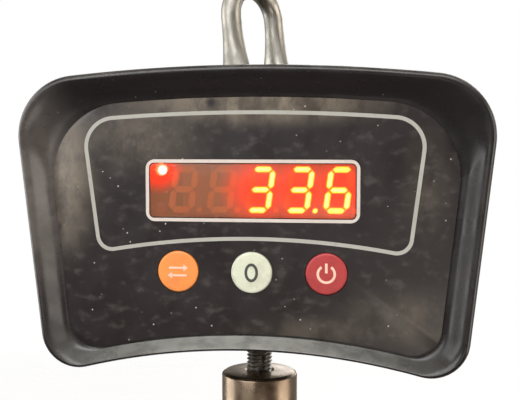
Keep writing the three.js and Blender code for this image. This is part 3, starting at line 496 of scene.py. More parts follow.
class Plan:
    """A trapezium with a bowed top, sloping sides and an arched bottom, in the front plane."""

    def __init__(self, top, top_radius, arch, arch_radius, half_width, slope):
        self.top, self.top_radius = top, top_radius
        self.arch, self.arch_radius = arch, arch_radius
        self.half_width, self.slope = half_width, slope

    def fillet(self, clearance, origin_z, distance):
        offset = self.half_width - clearance * hypot(1, self.slope)
        a = 1 + self.slope**2
        b = 2 * (self.slope * offset - origin_z)
        c = offset**2 + origin_z**2 - distance**2
        z = (-b + sqrt(b**2 - 4 * a * c)) / (2 * a)
        return offset + self.slope * z, z

    def ring(self, inset, corners):
        """The outline moved inwards by insets for top, sides and bottom, as (x, z) points."""
        top, side, bottom = inset if isinstance(inset, tuple) else (inset,) * 3
        top_origin, arch_origin = self.top - self.top_radius, self.arch - self.arch_radius
        top_radius, arch_radius = self.top_radius - top, self.arch_radius + bottom
        upper = self.fillet(side + corners[0], top_origin, top_radius - corners[0])
        lower = self.fillet(side + corners[1], arch_origin, arch_radius + corners[1])
        side_angle = -atan(self.slope)
        upper_angle = atan2(upper[1] - top_origin, upper[0])
        lower_angle = atan2(lower[1] - arch_origin, lower[0])
        half = [
            *arc((0, arch_origin), arch_radius, pi / 2, lower_angle, 24),
            *arc(lower, corners[1], lower_angle - pi, side_angle, 14)[1:],
            *arc(upper, corners[0], side_angle, upper_angle, 18),
            *arc((0, top_origin), top_radius, upper_angle, pi / 2, 18)[1:],
        ]
        return half + [(-x, z) for x, z in reversed(half[1:-1])]


HOUSING = Plan(TOP_HEIGHT, 780, ARCH_HEIGHT, 303, 101.5, 0.11)


def level(y, inset=0.0, corners=CORNERS):
    """The housing's outline at a depth y, moved inwards."""
    return [(x, y, z) for x, z in HOUSING.ring(inset, corners)]


def loft(rings, closed=False):
    """Vertices and faces of a skin through rings, with end caps unless it closes on itself."""
    count = len(rings[0])
    pairs = list(zip(range(len(rings)), range(1, len(rings))))
    if closed:
        pairs.append((len(rings) - 1, 0))
    faces = [
        (a * count + i, a * count + (i + 1) % count, b * count + (i + 1) % count, b * count + i)
        for a, b in pairs
        for i in range(count)
    ]
    if not closed:
        faces.append(tuple(range(count)))
        faces.append(tuple(range((len(rings) - 1) * count, len(rings) * count)))
    return [point for ring in rings for point in ring], faces


def turned(profile, axis="z", centre=(0, 0, 0), segments=64, closed=False):
    """A body of revolution from (radius, height) pairs, about an axis through centre."""
    rings = []
    for radius, height in profile:
        ring = []
        for i in range(segments):
            c, s = (radius * f(tau * i / segments) for f in (cos, sin))
            point = {"z": (c, s, height), "y": (c, height, s), "x": (height, c, s)}[axis]
            ring.append(tuple(p + q for p, q in zip(point, centre)))
        rings.append(ring)
    return loft(rings, closed)


def rod(radius, start, end, axis="z", centre=(0, 0, 0), segments=64):
    return turned([(radius, start), (radius, end)], axis, centre, segments)


def rounded_rectangle(width, height, corner):
    w, h = width / 2 - corner, height / 2 - corner
    quarter = pi / 2
    centres = [(w, h), (-w, h), (-w, -h), (w, -h)]
    return [p for i, c in enumerate(centres) for p in arc(c, corner, i * quarter, (i + 1) * quarter, 8)]


def plate(points, y0, y1, x=0.0, z=0.0):
    return loft([[(px + x, y, pz + z) for px, pz in points] for y in (y0, y1)])


def ribbon(outer, inner, y, thickness=0.06):
    """A flat printed line between two closed outlines with as many points each."""
    rings = [
        [(x, y, z) for x, z in outer],
        [(x, y - thickness, z) for x, z in outer],
        [(x, y - thickness, z) for x, z in inner],
        [(x, y, z) for x, z in inner],
    ]
    return loft(rings, closed=True)


def joined(*shapes):
    points, faces = [], []
    for more_points, more_faces in shapes:
        start = len(points)
        points += list(more_points)
        faces += [tuple(i + start for i in face) for face in more_faces]
    return points, faces


def shifted(shape, x=0.0, z=0.0):
    return [(px + x, py, pz + z) for px, py, pz in shape[0]], shape[1]


def on_shackle(shape):
    return [tuple(SHACKLE @ Vector(point)) for point in shape[0]], shape[1]


def on_pin(profile, segments=48):
    """A body turned about the shackle's pin."""
    return on_shackle(turned(profile, "x", segments=segments))


def block(x0, x1, y0, y1, z0, z1):
    return loft([[(x0, y, z0), (x1, y, z0), (x1, y, z1), (x0, y, z1)] for y in (y0, y1)])


def flat_sweep(path, sections, sides=24):
    """A bar along a path in the X-Z plane, oval at each point: radius in the plane, and across."""
    rings = []
    for i, ((x, z), (deep, wide)) in enumerate(zip(path, sections)):
        before, after = path[max(i - 1, 0)], path[min(i + 1, len(path) - 1)]
        along = Vector((after[0] - before[0], after[1] - before[1])).normalized()
        out = (along.y, -along.x)
        ring = []
        for k in range(sides):
            a = tau * k / sides
            across = deep * cos(a)
            ring.append((x + out[0] * across, wide * sin(a), z + out[1] * across))
        rings.append(ring)
    return loft(rings)


def wire(points, radius):
    """A thin round wire through points in space."""
    points = [Vector(p) for p in points]
    side = Vector((0.3, 0.2, 0.9)).cross(points[1] - points[0]).normalized()
    angles = [tau * k / 10 for k in range(10)]
    rings = []
    for i, p in enumerate(points):
        along = (points[min(i + 1, len(points) - 1)] - points[max(i - 1, 0)]).normalized()
        side = (side - along * side.dot(along)).normalized()
        other = along.cross(side)
        rings.append([tuple(p + radius * (side * cos(a) + other * sin(a))) for a in angles])
    return loft(rings)


# ---- Making pieces ----


def mesh_object(name, shape):
    mesh = bpy.data.meshes.new(name)
    mesh.from_pydata([to_row(point) for point in shape[0]], [], shape[1])
    work = bmesh.new()
    work.from_mesh(mesh)
    bmesh.ops.recalc_face_normals(work, faces=work.faces)
    work.to_mesh(mesh)
    work.free()
    return new_object(name, mesh)


def modify(obj, kind, **settings):
    adjust(obj.modifiers.new(kind, kind), **settings)


def settle(obj):
    """Turns the object's modifiers into its mesh."""
    bpy.context.view_layer.update()
    evaluated = obj.evaluated_get(bpy.context.evaluated_depsgraph_get())
    mesh = bpy.data.meshes.new_from_object(evaluated)
    obj.modifiers.clear()
    obj.data = mesh


def carve(obj, cutters, operation="DIFFERENCE"):
    """Cuts shapes, or finished objects, out of an object, or adds or keeps them instead."""
    tools = [c if isinstance(c, bpy.types.Object) else mesh_object("cutter", c) for c in cutters]
    for tool in tools:
        modify(obj, "BOOLEAN", operation=operation, solver="MANIFOLD", object=tool)
    settle(obj)
    for tool in tools:
        bpy.data.objects.remove(tool)


def soften(obj, width, segments=3):
    modify(obj, "BEVEL", width=width * MM, segments=segments, angle_limit=radians(35))
    settle(obj)


def forge(obj, voxel, smoothing=4):
    """Melts the object's solids into one skin with rounded joins, as a forging has."""
    modify(obj, "REMESH", mode="VOXEL", voxel_size=voxel * MM)
    modify(obj, "SMOOTH", factor=0.5, iterations=smoothing)
    settle(obj)


def dress(obj, material, slot, node=None, sharp=32, body="scale"):
    """Gives a finished mesh its shading, material and body, and hides the CAD node it stands for."""
    obj.data.shade_smooth()
    obj.data.set_sharp_from_angle(angle=radians(sharp))
    obj.data.materials.clear()
    obj.data.materials.append(material)
    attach(obj, body)
    if node:
        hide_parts(node)


def piece(name, shape, *finish, **more):
    dress(mesh_object(name, shape), *finish, **more)


def refined(node, body, material, slot, edge=0.25):
    """A copy of a CAD node with its edges rounded and its curves shaded smooth."""
    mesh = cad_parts[node].data.copy()
    work = bmesh.new()
    work.from_mesh(mesh)
    bmesh.ops.remove_doubles(work, verts=work.verts, dist=1e-6)
    bmesh.ops.dissolve_limit(work, angle_limit=radians(1), verts=work.verts, edges=work.edges)
    work.to_mesh(mesh)
    work.free()
    obj = new_object(f"{node}_finished", mesh)
    if "custom_normal" in mesh.attributes:
        mesh.attributes.remove(mesh.attributes["custom_normal"])
    soften(obj, edge, 2)
    dress(obj, material, slot, node, body=body)


# ---- Housing ----


def blend(start, end, share):
    return tuple(a + (b - a) * share for a, b in zip(start, end))


def wall_openings():
    top = rod(TOP_OPENING, TOP_HEIGHT - 7, TOP_HEIGHT + 6, segments=96)
    return [top, rod(BOTTOM_OPENING, ARCH_HEIGHT - 6, ARCH_HEIGHT + 8)]


def button_places():
    return [step * BUTTON_PITCH for step in (-1, 0, 1)]


def panel_cuts(y0, y1):
    gap = 0.3
    window = rounded_rectangle(WINDOW_WIDTH + 2 * gap, WINDOW_HEIGHT + 2 * gap, 2)
    keys = [rod(BUTTON_RADIUS + gap, y0, y1, "y", (x, 0, BUTTON_Z)) for x in button_places()]
    return [plate(window, y0, y1, z=WINDOW_Z), *keys]


def front_shell(material):
    rings = [level(FRONT_SEAM_Y, 1.7), level(FRONT_SEAM_Y - 0.5, 1.15), level(RIM_Y + RIM_ROUND)]
    round_steps, dish_steps = 6, 12
    for i in range(1, round_steps + 1):
        a = pi / 2 * i / round_steps
        inset = blend((0, 0, 0), CREST_INSET, 1 - cos(a))
        corners = blend(CORNERS, CREST_CORNERS, 1 - cos(a))
        rings.append(level(RIM_Y + RIM_ROUND * (1 - sin(a)), inset, corners))
    for i in range(1, dish_steps + 1):
        u = i / dish_steps
        depth = 0.25 * u + 0.75 * (3 * u**2 - 2 * u**3)
        inset = blend(CREST_INSET, PANEL_INSET, u)
        corners = blend(CREST_CORNERS, PANEL_CORNERS, u)
        rings.append(level(RIM_Y + (PANEL_Y - RIM_Y) * depth, inset, corners))
    shell = mesh_object("front_shell", loft(rings))
    cavity = loft([
        level(FRONT_SEAM_Y + 1, WALL + 1.2),
        level(PANEL_Y + WALL + 4, WALL + 1.2),
        level(PANEL_Y + WALL, (9.4, 8, 4.8)),
    ])
    carve(shell, [cavity, *panel_cuts(PANEL_Y - 2, PANEL_Y + 5), *wall_openings()])
    dress(shell, material, "housing_black", "front_housing")


def rear_shell(material):
    rings = [
        level(REAR_SEAM_Y, 1.7),
        level(REAR_SEAM_Y + 0.5, 1.15),
        level(BACK_Y - BACK_ROUND, BACK_TAPER),
    ]
    steps = 9
    for i in range(1, steps + 1):
        a = pi / 2 * i / steps
        inset = BACK_TAPER + BACK_ROUND * (1 - cos(a))
        rings.append(level(BACK_Y - BACK_ROUND * (1 - sin(a)), inset))
    shell = mesh_object("rear_shell", loft(rings))
    cavity = mesh_object("cavity", loft([
        level(REAR_SEAM_Y - 1, WALL + 1.2),
        level(BACK_Y - BACK_ROUND + 2, BACK_TAPER + WALL + 0.3),
        level(BACK_Y - WALL, BACK_TAPER + 7.5),
    ]))
    carve(cavity, [rod(6, REAR_SEAM_Y - 2, BACK_Y, "y", (x, 0, z)) for x, z in HOUSING_SCREWS])
    carve(shell, [cavity])
    wells = []
    for x, z in HOUSING_SCREWS:
        lip = [(4.2, SCREW_SEAT_Y), (4.2, BACK_Y - 0.5), (4.8, BACK_Y + 0.1), (4.8, BACK_Y + 1)]
        wells.append(turned(lip, "y", (x, 0, z), 40))
        wells.append(rod(2.1, REAR_SEAM_Y - 1, SCREW_SEAT_Y + 1, "y", (x, 0, z), 24))
    for x, z in BRACKET_SCREWS:
        wells.append(turned([(2.3, 20), (2.3, 33), (4.1, 34.8), (4.1, 36)], "y", (x, 0, z), 40))
    opening = rounded_rectangle(DOOR_WIDTH + 0.6, DOOR_HEIGHT + 0.6, 4)
    door = plate(opening, BACK_Y - WALL - 1, BACK_Y + 1, z=DOOR_Z)
    hole = [(5.8, 20), (5.8, BACK_Y - 0.7), (6.6, BACK_Y + 0.1), (6.6, 40)]
    socket = turned(hole, "y", (SOCKET_X, 0, SOCKET_Z))
    carve(shell, [*wells, door, socket, *wall_openings()])
    dress(shell, material, "housing_black", "rear_housing")


def battery_door(material):
    outline = rounded_rectangle(DOOR_WIDTH, DOOR_HEIGHT, 4)
    door = mesh_object("battery_door", plate(outline, BACK_Y - WALL + 0.3, BACK_Y, z=DOOR_Z))
    sink = [(1.6, 20), (1.6, 33.6), (2.9, 34.9), (2.9, 36)]
    sinks = [turned(sink, "y", (x, 0, z), 32) for x, z in DOOR_SCREWS]
    grips = [
        plate(rounded_rectangle(22, 1.2, 0.6), BACK_Y - 0.6, BACK_Y + 1, z=DOOR_Z - 15 - 2.6 * i)
        for i in range(3)
    ]
    soften(door, 0.5, 3)
    carve(door, [*sinks, *grips])
    dress(door, material, "housing_black", "battery_cover")


def cross_screw(node, x, z, face, r, tip, domed, material):
    """Screw head of radius r seen from the back, with a cross recess, on a plain shank."""
    if domed:
        head = [(r, face - 2.4), (r, face - 1.2), (r * 0.86, face - 0.35), (r * 0.5, face)]
    else:
        head = [(r * 0.5, face - r * 0.5), (r, face - 0.15), (r - 0.15, face)]
    shank = [(r * 0.3, tip), (r * 0.5, tip + 1.5)]
    screw = mesh_object(f"{node}_head", turned(shank + head, "y", (x, 0, z), 40))
    arm, width, depth = r * 0.62, r * 0.17, 1.1
    arms = [
        loft([
            [(x - a, y, z - b), (x + a, y, z - b), (x + a, y, z + b), (x - a, y, z + b)]
            for y, a, b in ((face - depth, w * 0.45, h * 0.45), (face + 0.2, w, h))
        ])
        for w, h in ((arm, width), (width, arm))
    ]
    carve(screw, arms)
    dress(screw, material, "zinc_plate", node)


def screws(material):
    # Kind of screw: its places, then its face, head radius, tip, and whether it is domed
    kinds = {
        "housing_screw": (HOUSING_SCREWS, SCREW_SEAT_Y + 2.7, 3.4, -16, True),
        "bracket_screw": (BRACKET_SCREWS, BACK_Y - 0.2, 3.7, 27, False),
        "battery_cover_screw": (DOOR_SCREWS, BACK_Y - 0.2, 2.5, 29, False),
    }
    for kind, (places, *sizes) in kinds.items():
        for i, (x, z) in enumerate(places, 1):
            cross_screw(f"{kind}_{i}", x, z, *sizes, material)


def seals(material):
    middle, r = TOP_HEIGHT - 3.1, TOP_OPENING
    lip = [
        (r - 0.3, middle - 1.9), (r - 0.3, middle + 1.9), (r - 1.1, middle + 2.3),
        (r - 1.9, middle + 1.7), (r - 2, middle - 1.7), (r - 1.2, middle - 2.1),
    ]
    ring = turned(lip, segments=96, closed=True)
    piece("shackle_seal", ring, material, "seal_rubber", "top_seal")
    low, inner, outer = ARCH_HEIGHT - 1, 8.5, BOTTOM_OPENING - 0.3
    grommet = [
        (inner, low + 0.5), (inner + 0.5, low), (outer - 0.5, low),
        (outer, low + 0.5), (outer, low + 6), (inner, low + 6),
    ]
    ring = turned(grommet, closed=True)
    piece("stud_grommet", ring, material, "seal_rubber", "bottom_grommet")


# ---- Front panel ----

# Pale patches on the film, partly dust and partly painted reflection: x, z, reach, stretch and strength;
# and dark stains: x, z, reach
DUST_AND_REFLECTION_PATCHES = [
    (-88, 14, 46, (0.5, 1, 1.15), 0.46), (2, 46, 24, (3.4, 1, 0.62), 0.55),
    (72, -50, 24, (1.9, 1, 0.8), 0.16), (30, -56, 20, (2.6, 1, 0.5), 0.14),
    (-50, 30, 26, (1.5, 1, 0.9), 0.20), (76, 8, 24, (0.6, 1, 1.5), 0.10),
]
STAINS = [(-18, 44.9, 3.6), (-88.6, -10.9, 3.2), (-95, 29, 2.2)]

DISPLAY_FRONT, DISPLAY_BACK = PANEL_Y + 2.3, -15.3
MODULE_X, MODULE_WIDTH, MODULE_HEIGHT = 7, 77, 22.4
DIGIT_Z, DIGIT_HEIGHT, DIGIT_WIDTH, STROKE, CORE_INSET = 6.4, 20.9, 11.7, 2.8, 0.6
DIGIT_PITCH, LAST_DIGIT_X = 17.3, 38.2
DIGIT_SLANT = tan(radians(8))
DIGIT_X = [LAST_DIGIT_X - DIGIT_PITCH * step for step in (4, 3, 2, 1, 0)]
LIT_DIGIT_X, POINT_X = DIGIT_X[2:], DIGIT_X[3]
READING = ["", "", "abcdg", "abcdg", "acdefg"]      # the lit segments of each digit: 33.6
LAMP_X, LAMP_Z, LAMP_RADIUS = -41.5, (15.2, -2.5), 2.9
POINT_RADIUS = 1.25
KEY_FRONT = FILM_Y - 0.7


def film(material):
    edge = tuple(inset + 1 for inset in PANEL_INSET)
    corners = tuple(corner - 1 for corner in PANEL_CORNERS)
    rings = [
        level(PANEL_Y - 0.3, edge, corners),
        level(FILM_Y + 0.1, edge, corners),
        level(FILM_Y, tuple(inset + 0.12 for inset in edge), corners),
    ]
    sheet = mesh_object("panel_film", loft(rings))
    carve(sheet, panel_cuts(PANEL_Y - 3, PANEL_Y + 3))
    dress(sheet, material, "panel_film", "front_overlay")


PRINT = Plan(40.5, 850, -15.2, 365, 71.8, 0.127)
PRINT_CORNERS, PRINT_LINE = (13, 6.5), 1.7
FRAME_GAP, FRAME_LINE = 0.4, 1.5


def printed_lines(white, pink):
    outer, inner = (
        PRINT.ring(-side * PRINT_LINE / 2, tuple(c + side * PRINT_LINE / 2 for c in PRINT_CORNERS))
        for side in (1, -1)
    )
    piece("printed_outline", ribbon(outer, inner, FILM_Y), white, "panel_film")
    width, height = WINDOW_WIDTH + 2 * FRAME_GAP, WINDOW_HEIGHT + 2 * FRAME_GAP
    around = rounded_rectangle(width + 2 * FRAME_LINE, height + 2 * FRAME_LINE, 2.6 + FRAME_LINE)
    within = rounded_rectangle(width, height, 2.2)
    frame_line = shifted(ribbon(around, within, FILM_Y), z=WINDOW_Z)
    piece("printed_window_frame", frame_line, pink, "panel_film")


def segment(kind, inset=0.0):
    """One bar of a digit as a flat six-sided outline about the digit's middle."""
    w, h, t = DIGIT_WIDTH / 2, DIGIT_HEIGHT / 2, STROKE / 2
    gap, half = 0.28 + 1.4 * inset, t - inset
    lying = {"a": h - t, "g": 0, "d": -h + t}
    if kind in lying:
        z, reach = lying[kind], w - t - gap
        upper = [(-reach, 0), (-reach + half, half), (reach - half, half)]
        return [(side * x, z + side * dz) for side in (1, -1) for x, dz in upper]
    x = w - t if kind in "bc" else -w + t
    low, high = (gap, h - t - gap) if kind in "bf" else (-h + t + gap, -gap)
    right = [(x, low), (x + half, low + half), (x + half, high - half)]
    return right + [(2 * x - px, low + high - pz) for px, pz in right]


def point(radius):
    """The decimal point, beside the digit's foot."""
    return arc((DIGIT_WIDTH / 2 + 2.4, -DIGIT_HEIGHT / 2 + 1.3), radius, 0, tau, 16)[1:]


def bar(points, x, back=DISPLAY_FRONT, thickness=0.15):
    slanted = [(px + x + DIGIT_SLANT * pz, pz + DIGIT_Z) for px, pz in points]
    return plate(slanted, back - thickness, back)


def bar_core(points, x):
    return bar(points, x, DISPLAY_FRONT - 0.1, 0.05)


def display(body_material, bright, brightest, dim):
    outline = rounded_rectangle(MODULE_WIDTH, MODULE_HEIGHT, 1)
    module = mesh_object(
        "display_block", plate(outline, DISPLAY_FRONT, DISPLAY_BACK, x=MODULE_X, z=WINDOW_Z)
    )
    soften(module, 0.4, 2)
    dress(module, body_material, "dark_plastic", "display_module")
    on, off, cores = [], [], []
    for x, shown in zip(DIGIT_X, READING):
        for kind in "abcdefg":
            (on if kind in shown else off).append(bar(segment(kind), x))
        cores += [bar_core(segment(kind, CORE_INSET), x) for kind in shown]
        (on if x == POINT_X else off).append(bar(point(POINT_RADIUS), x))
    cores.append(bar_core(point(POINT_RADIUS - CORE_INSET), POINT_X))
    piece("lit_segments", joined(*on), bright, "led_red")
    piece("segment_cores", joined(*cores), brightest, "led_red")
    piece("dark_segments", joined(*off), dim, "dark_plastic")


def lamps(bright, dim):
    front, barrel = DISPLAY_FRONT + 1, 1.6
    curve = [pi / 2 * k / 8 for k in range(8)]
    dome = [(LAMP_RADIUS * cos(a), front - 0.8 * sin(a)) for a in curve]
    profile = [(barrel, DISPLAY_BACK), (barrel, front + 0.4), *dome]
    for i, (z, material) in enumerate(zip(LAMP_Z, (bright, dim)), 1):
        shape = turned(profile, "y", (LAMP_X, 0, z), 32)
        piece(f"unit_lamp_{i}", shape, material, "led_red", f"unit_indicator_{i}")


def window(material):
    outline = rounded_rectangle(WINDOW_WIDTH, WINDOW_HEIGHT, 2)
    lens = mesh_object("window_lens", plate(outline, FILM_Y, PANEL_Y + 2, z=WINDOW_Z))
    soften(lens, 0.25, 3)
    dress(lens, material, "window_red", "display_window")


def key_cap(name, x, material, slot):
    r, rounding, front, foot = BUTTON_RADIUS, 1.1, KEY_FRONT, PANEL_Y + WALL
    flat = r - rounding
    face = [(r * 0.25, front - 0.16), (r * 0.6, front - 0.12), (flat, front)]
    turn = [pi / 12 * k for k in range(1, 7)]
    edge = [(flat + rounding * sin(a), front + rounding * (1 - cos(a))) for a in turn]
    flange = [(r, foot + 0.3), (r + 1.6, foot + 0.3), (r + 1.6, foot + 1.5)]
    stem = [(2.5, foot + 1.5), (2.5, foot + 3)]
    shape = turned(face + edge + flange + stem, "y", (x, 0, BUTTON_Z), 72)
    piece(f"{name}_key", shape, material, slot, f"button_{name}", body=f"{name}_key")


def keys(orange, cream, red):
    finishes = [("units", orange, "key_orange"), ("zero", cream, "key_cream"), ("power", red, "key_red")]
    for x, (name, material, slot) in zip(button_places(), finishes):
        key_cap(name, x, material, slot)


def ring_mark(radius, line, start, end, x, y):
    """Part of a ring, drawn on a key's face."""
    outer, inner = (arc((x, BUTTON_Z), radius + side * line / 2, start, end, 36) for side in (1, -1))
    return plate(outer + inner[::-1], y - 0.05, y + 0.2)


def key_marks(pale, dark):
    """Plain signs in place of words: two arrows, a nought and a power sign."""
    left, middle, right = button_places()
    face = KEY_FRONT - 0.17
    arrows = []
    for side in (-1, 1):
        z = BUTTON_Z + side * 1.7
        tail, neck, tip = (left + side * x for x in (-4.0, 2.6, 4.6))
        lower = [(tail, 0.45), (neck, 0.45), (neck, 1.5)]
        arrow = [(x, z - dz) for x, dz in lower] + [(tip, z)]
        arrow += [(x, z + dz) for x, dz in reversed(lower)]
        arrows.append(plate(arrow, face - 0.05, face + 0.2))
    piece("units_key_mark", joined(*arrows), pale, "key_cream", body="units_key")
    oval, hole = (
        [(middle + narrow * (x - middle), z) for x, z in arc((middle, BUTTON_Z), r, 0, tau, 40)[1:]]
        for r, narrow in ((4.2, 0.72), (2.9, 0.62))
    )
    piece("zero_key_mark", ribbon(oval, hole, face + 0.1, 0.15), dark, "dark_plastic", body="zero_key")
    gap = radians(34)
    sign = ring_mark(3.7, 1.1, pi / 2 + gap, pi / 2 + tau - gap, right, face)
    stroke = block(right - 0.55, right + 0.55, face - 0.05, face + 0.2, BUTTON_Z + 0.4, BUTTON_Z + 4.7)
    piece("power_key_mark", joined(sign, stroke), pale, "key_cream", body="power_key")


# ---- Shackle ----


def bezier(p0, p1, p2, p3, steps):
    points = []
    for i in range(steps + 1):
        t = i / steps
        weights = ((1 - t) ** 3, 3 * t * (1 - t) ** 2, 3 * t**2 * (1 - t), t**3)
        points.append(tuple(sum(w * p[k] for w, p in zip(weights, (p0, p1, p2, p3))) for k in (0, 1)))
    return points


def bow_path():
    """The bar's middle line about the pin: up one leg, over the crown and down the other."""
    leg, bow = EAR_GAP / 2 + BOW_ROD, BOW_INSIDE / 2 + BOW_ROD
    top = BOW_HEIGHT + BOW_ROD
    shoulder = top - bow
    quarter = 0.5523 * bow
    rise = bezier((leg, 0), (leg, 0.5 * shoulder), (bow, 0.7 * shoulder), (bow, shoulder), 24)
    crown = bezier((bow, shoulder), (bow, shoulder + quarter), (quarter, top), (0, top), 16)
    half = rise + crown[1:]
    return half + [(-x, z) for x, z in reversed(half[:-1])]


def shackle_bow(material):
    path = bow_path()
    sections = []
    for i in range(len(path)):
        t = i / (len(path) - 1)
        flare = max(0, 1 - min(t, 1 - t) / EAR_FLARE) ** 2
        sections.append((BOW_ROD, BOW_ROD + (EAR_RADIUS - 0.5 - BOW_ROD) * flare))
    bow = mesh_object("bow", on_shackle(flat_sweep(path, sections)))
    inner, outer = EAR_GAP / 2, EAR_GAP / 2 + 2 * BOW_ROD
    profile = [
        (EAR_RADIUS - 1.2, inner), (EAR_RADIUS, inner + 1.2),
        (EAR_RADIUS, outer - 1.2), (EAR_RADIUS - 1.2, outer),
    ]
    carve(bow, [on_pin([(r, side * x) for r, x in profile]) for side in (-1, 1)], "UNION")
    forge(bow, 0.7)
    carve(bow, [on_pin([(PIN_RADIUS + 0.3, -outer - 2), (PIN_RADIUS + 0.3, outer + 2)], 40)])
    dress(bow, material, "zinc_plate", "shackle_bow", 50, "bow")


def pin_nut(start, end, material):
    across_corners = 16 / sqrt(3)
    nut = mesh_object("pin_nut", on_pin([(across_corners, start), (across_corners, end)], 6))
    rounding = [
        (8.2, start - 1), (8.2, start), (9.4, start + 1.2), (9.4, end - 1.2), (8.2, end), (8.2, end + 1),
    ]
    carve(nut, [on_pin(rounding)], "INTERSECT")
    carve(nut, [on_pin([(PIN_RADIUS + 0.2, start - 1), (PIN_RADIUS + 0.2, end + 1)], 32)])
    dress(nut, material, "zinc_plate", "shackle_nut", body="bow")


def split_pin(x, material):
    turn = [tau * i / 20 for i in range(1, 18)]
    eye = [(0.9 * sin(a), 0, 8.2 - 1.1 * cos(a)) for a in turn]
    legs = [(0.35, 0, -7.6), (0.35, 0, 6.6), *eye, (-0.35, 0, 6.6), (-0.35, 0, -6.9)]
    cotter = on_shackle(shifted(wire(legs, 0.42), x))
    piece("split_pin", cotter, material, "zinc_plate", "shackle_cotter_pin", 60, "bow")


def shackle_hardware(material):
    outer = EAR_GAP / 2 + 2 * BOW_ROD
    nut_start, nut_end = outer + 0.3, outer + 6.8
    cotter_x = nut_end + 1.6
    profile = [
        (6.2, -outer - 4.3), (7, -outer - 3.6), (7, -outer - 0.3), (PIN_RADIUS, -outer - 0.3),
        (PIN_RADIUS, cotter_x + 1.2), (PIN_RADIUS - 0.9, cotter_x + 2),
    ]
    piece("clevis_pin", on_pin(profile), material, "zinc_plate", "shackle_pin", body="bow")
    pin_nut(nut_start, nut_end, material)
    split_pin(cotter_x, material)


# ---- Stud, swivel and hook ----


def thread(radius, depth, pitch, z0, z1):
    """A screw thread: a bar whose radius follows the helix."""
    rings = []
    sides, per_pitch = 40, 8
    steps = round((z1 - z0) / pitch * per_pitch)
    for k in range(steps + 1):
        z = z0 + (z1 - z0) * k / steps
        ring = []
        for i in range(sides):
            phase = (z / pitch - i / sides) % 1
            share = min(1, max(0, abs(phase - 0.5) * 2.6 - 0.15))
            r = radius - depth * share
            a = tau * i / sides
            ring.append((r * cos(a), r * sin(a), z))
        rings.append(ring)
    return loft(rings)


def stud(material):
    shape = thread(STUD_RADIUS, 1.0, STUD_PITCH, SWIVEL_TOP - 10.5, -20)
    piece("threaded_stud", shape, material, "zinc_plate", "lower_stud", 70)


def swivel(material):
    flange = 16.9
    top, rim, bottom, r = SWIVEL_TOP, SWIVEL_TOP - 0.8, SWIVEL_BOTTOM, SWIVEL_RADIUS
    body = [
        (SHANK_RADIUS + 1.2, bottom), (r - 2.6, bottom), (r - 1.2, bottom + 0.5), (r - 0.3, bottom + 1.5),
        (r, bottom + 2.8), (r, rim - 0.6), (r - 0.2, rim - 0.15), (r - 0.5, rim), (flange + 0.3, rim),
        (flange + 0.3, top - 3.3), (15, top - 3.3), (15, bottom + 6),
        (SHANK_RADIUS + 0.7, bottom + 6), (SHANK_RADIUS + 0.7, bottom + 0.5),
    ]
    piece("swivel_cup", turned(body, segments=128, closed=True), material, "bright_steel",
          "swivel_body")
    cap = [
        (STUD_RADIUS + 0.2, top - 11), (14.7, top - 11), (14.7, top - 3),
        (flange, top - 3), (flange, top - 0.7), (flange - 0.4, top - 0.2),
        (flange - 0.9, top), (9, top + 0.42), (STUD_RADIUS + 1.1, top + 0.5),
        (STUD_RADIUS + 0.2, top - 0.4),
    ]
    piece("swivel_lid", turned(cap, segments=128, closed=True), material, "bright_steel",
          "swivel_cap")


def spline(points, count):
    """Points evenly spaced along a curve through the given ones."""
    fine = []
    ends = [points[0], *points, points[-1]]
    for i in range(len(points) - 1):
        p0, p1, p2, p3 = ends[i : i + 4]
        for k in range(24):
            t = k / 24
            fine.append(tuple(
                b + 0.5 * t * (c - a + t * (2 * a - 5 * b + 4 * c - d + t * (3 * b - a - 3 * c + d)))
                for a, b, c, d in zip(p0, p1, p2, p3)
            ))
    fine.append(points[-1])
    lengths = [0]
    for a, b in zip(fine, fine[1:]):
        lengths.append(lengths[-1] + dist(a, b))
    even, at = [], 0
    for k in range(count + 1):
        goal = lengths[-1] * k / count
        while at < len(fine) - 2 and lengths[at + 1] < goal:
            at += 1
        share = (goal - lengths[at]) / (lengths[at + 1] - lengths[at])
        even.append(tuple(a + (b - a) * share for a, b in zip(fine[at], fine[at + 1])))
    return even


def hook_path(count):
    reach = BOWL_RADIUS + 8
    points = [(0, SWIVEL_BOTTOM - 3), (3, SWIVEL_BOTTOM - 13), (13, BOWL_Z + 22)]
    for i in range(9):
        a = radians(30 - i * 26)
        points.append((reach * cos(a), BOWL_Z + reach * sin(a)))
    points.append((-reach - 3.5, BOWL_Z + 16))
    return spline(points, count)


def hook(material):
    count = 96
    sections = []
    for i in range(count + 1):
        t = i / count
        swell = sin(pi * min(1, t / 0.96)) ** 0.8
        sections.append((4.2 + 5.0 * swell + 2.4 * (1 - t), 3.8 + 3.4 * swell + 2.6 * (1 - t)))
    arm = flat_sweep(hook_path(count), sections, 28)
    top = SWIVEL_BOTTOM + SHANK_RISE
    shank = turned([
        (10.2, SWIVEL_BOTTOM - 9), (11.6, SWIVEL_BOTTOM - 7.5), (12.5, SWIVEL_BOTTOM - 3),
        (12, SWIVEL_BOTTOM - 1), (11, SWIVEL_BOTTOM - 0.5), (SHANK_RADIUS, SWIVEL_BOTTOM - 0.5),
        (SHANK_RADIUS, top - 1), (SHANK_RADIUS - 1, top),
    ], segments=64)
    lug = block(LATCH_X - 3.4, 4, -2.5, 2.5, LATCH_Z - 3.4, LATCH_Z + 7)
    forging = mesh_object("forged_hook", arm)
    carve(forging, [shank, lug], "UNION")
    forge(forging, 0.8, 5)
    carve(forging, [rod(2.3, -6, 6, "y", (LATCH_X, 0, LATCH_Z), 32)])
    dress(forging, material, "bright_steel", "hook", 50, "hook")


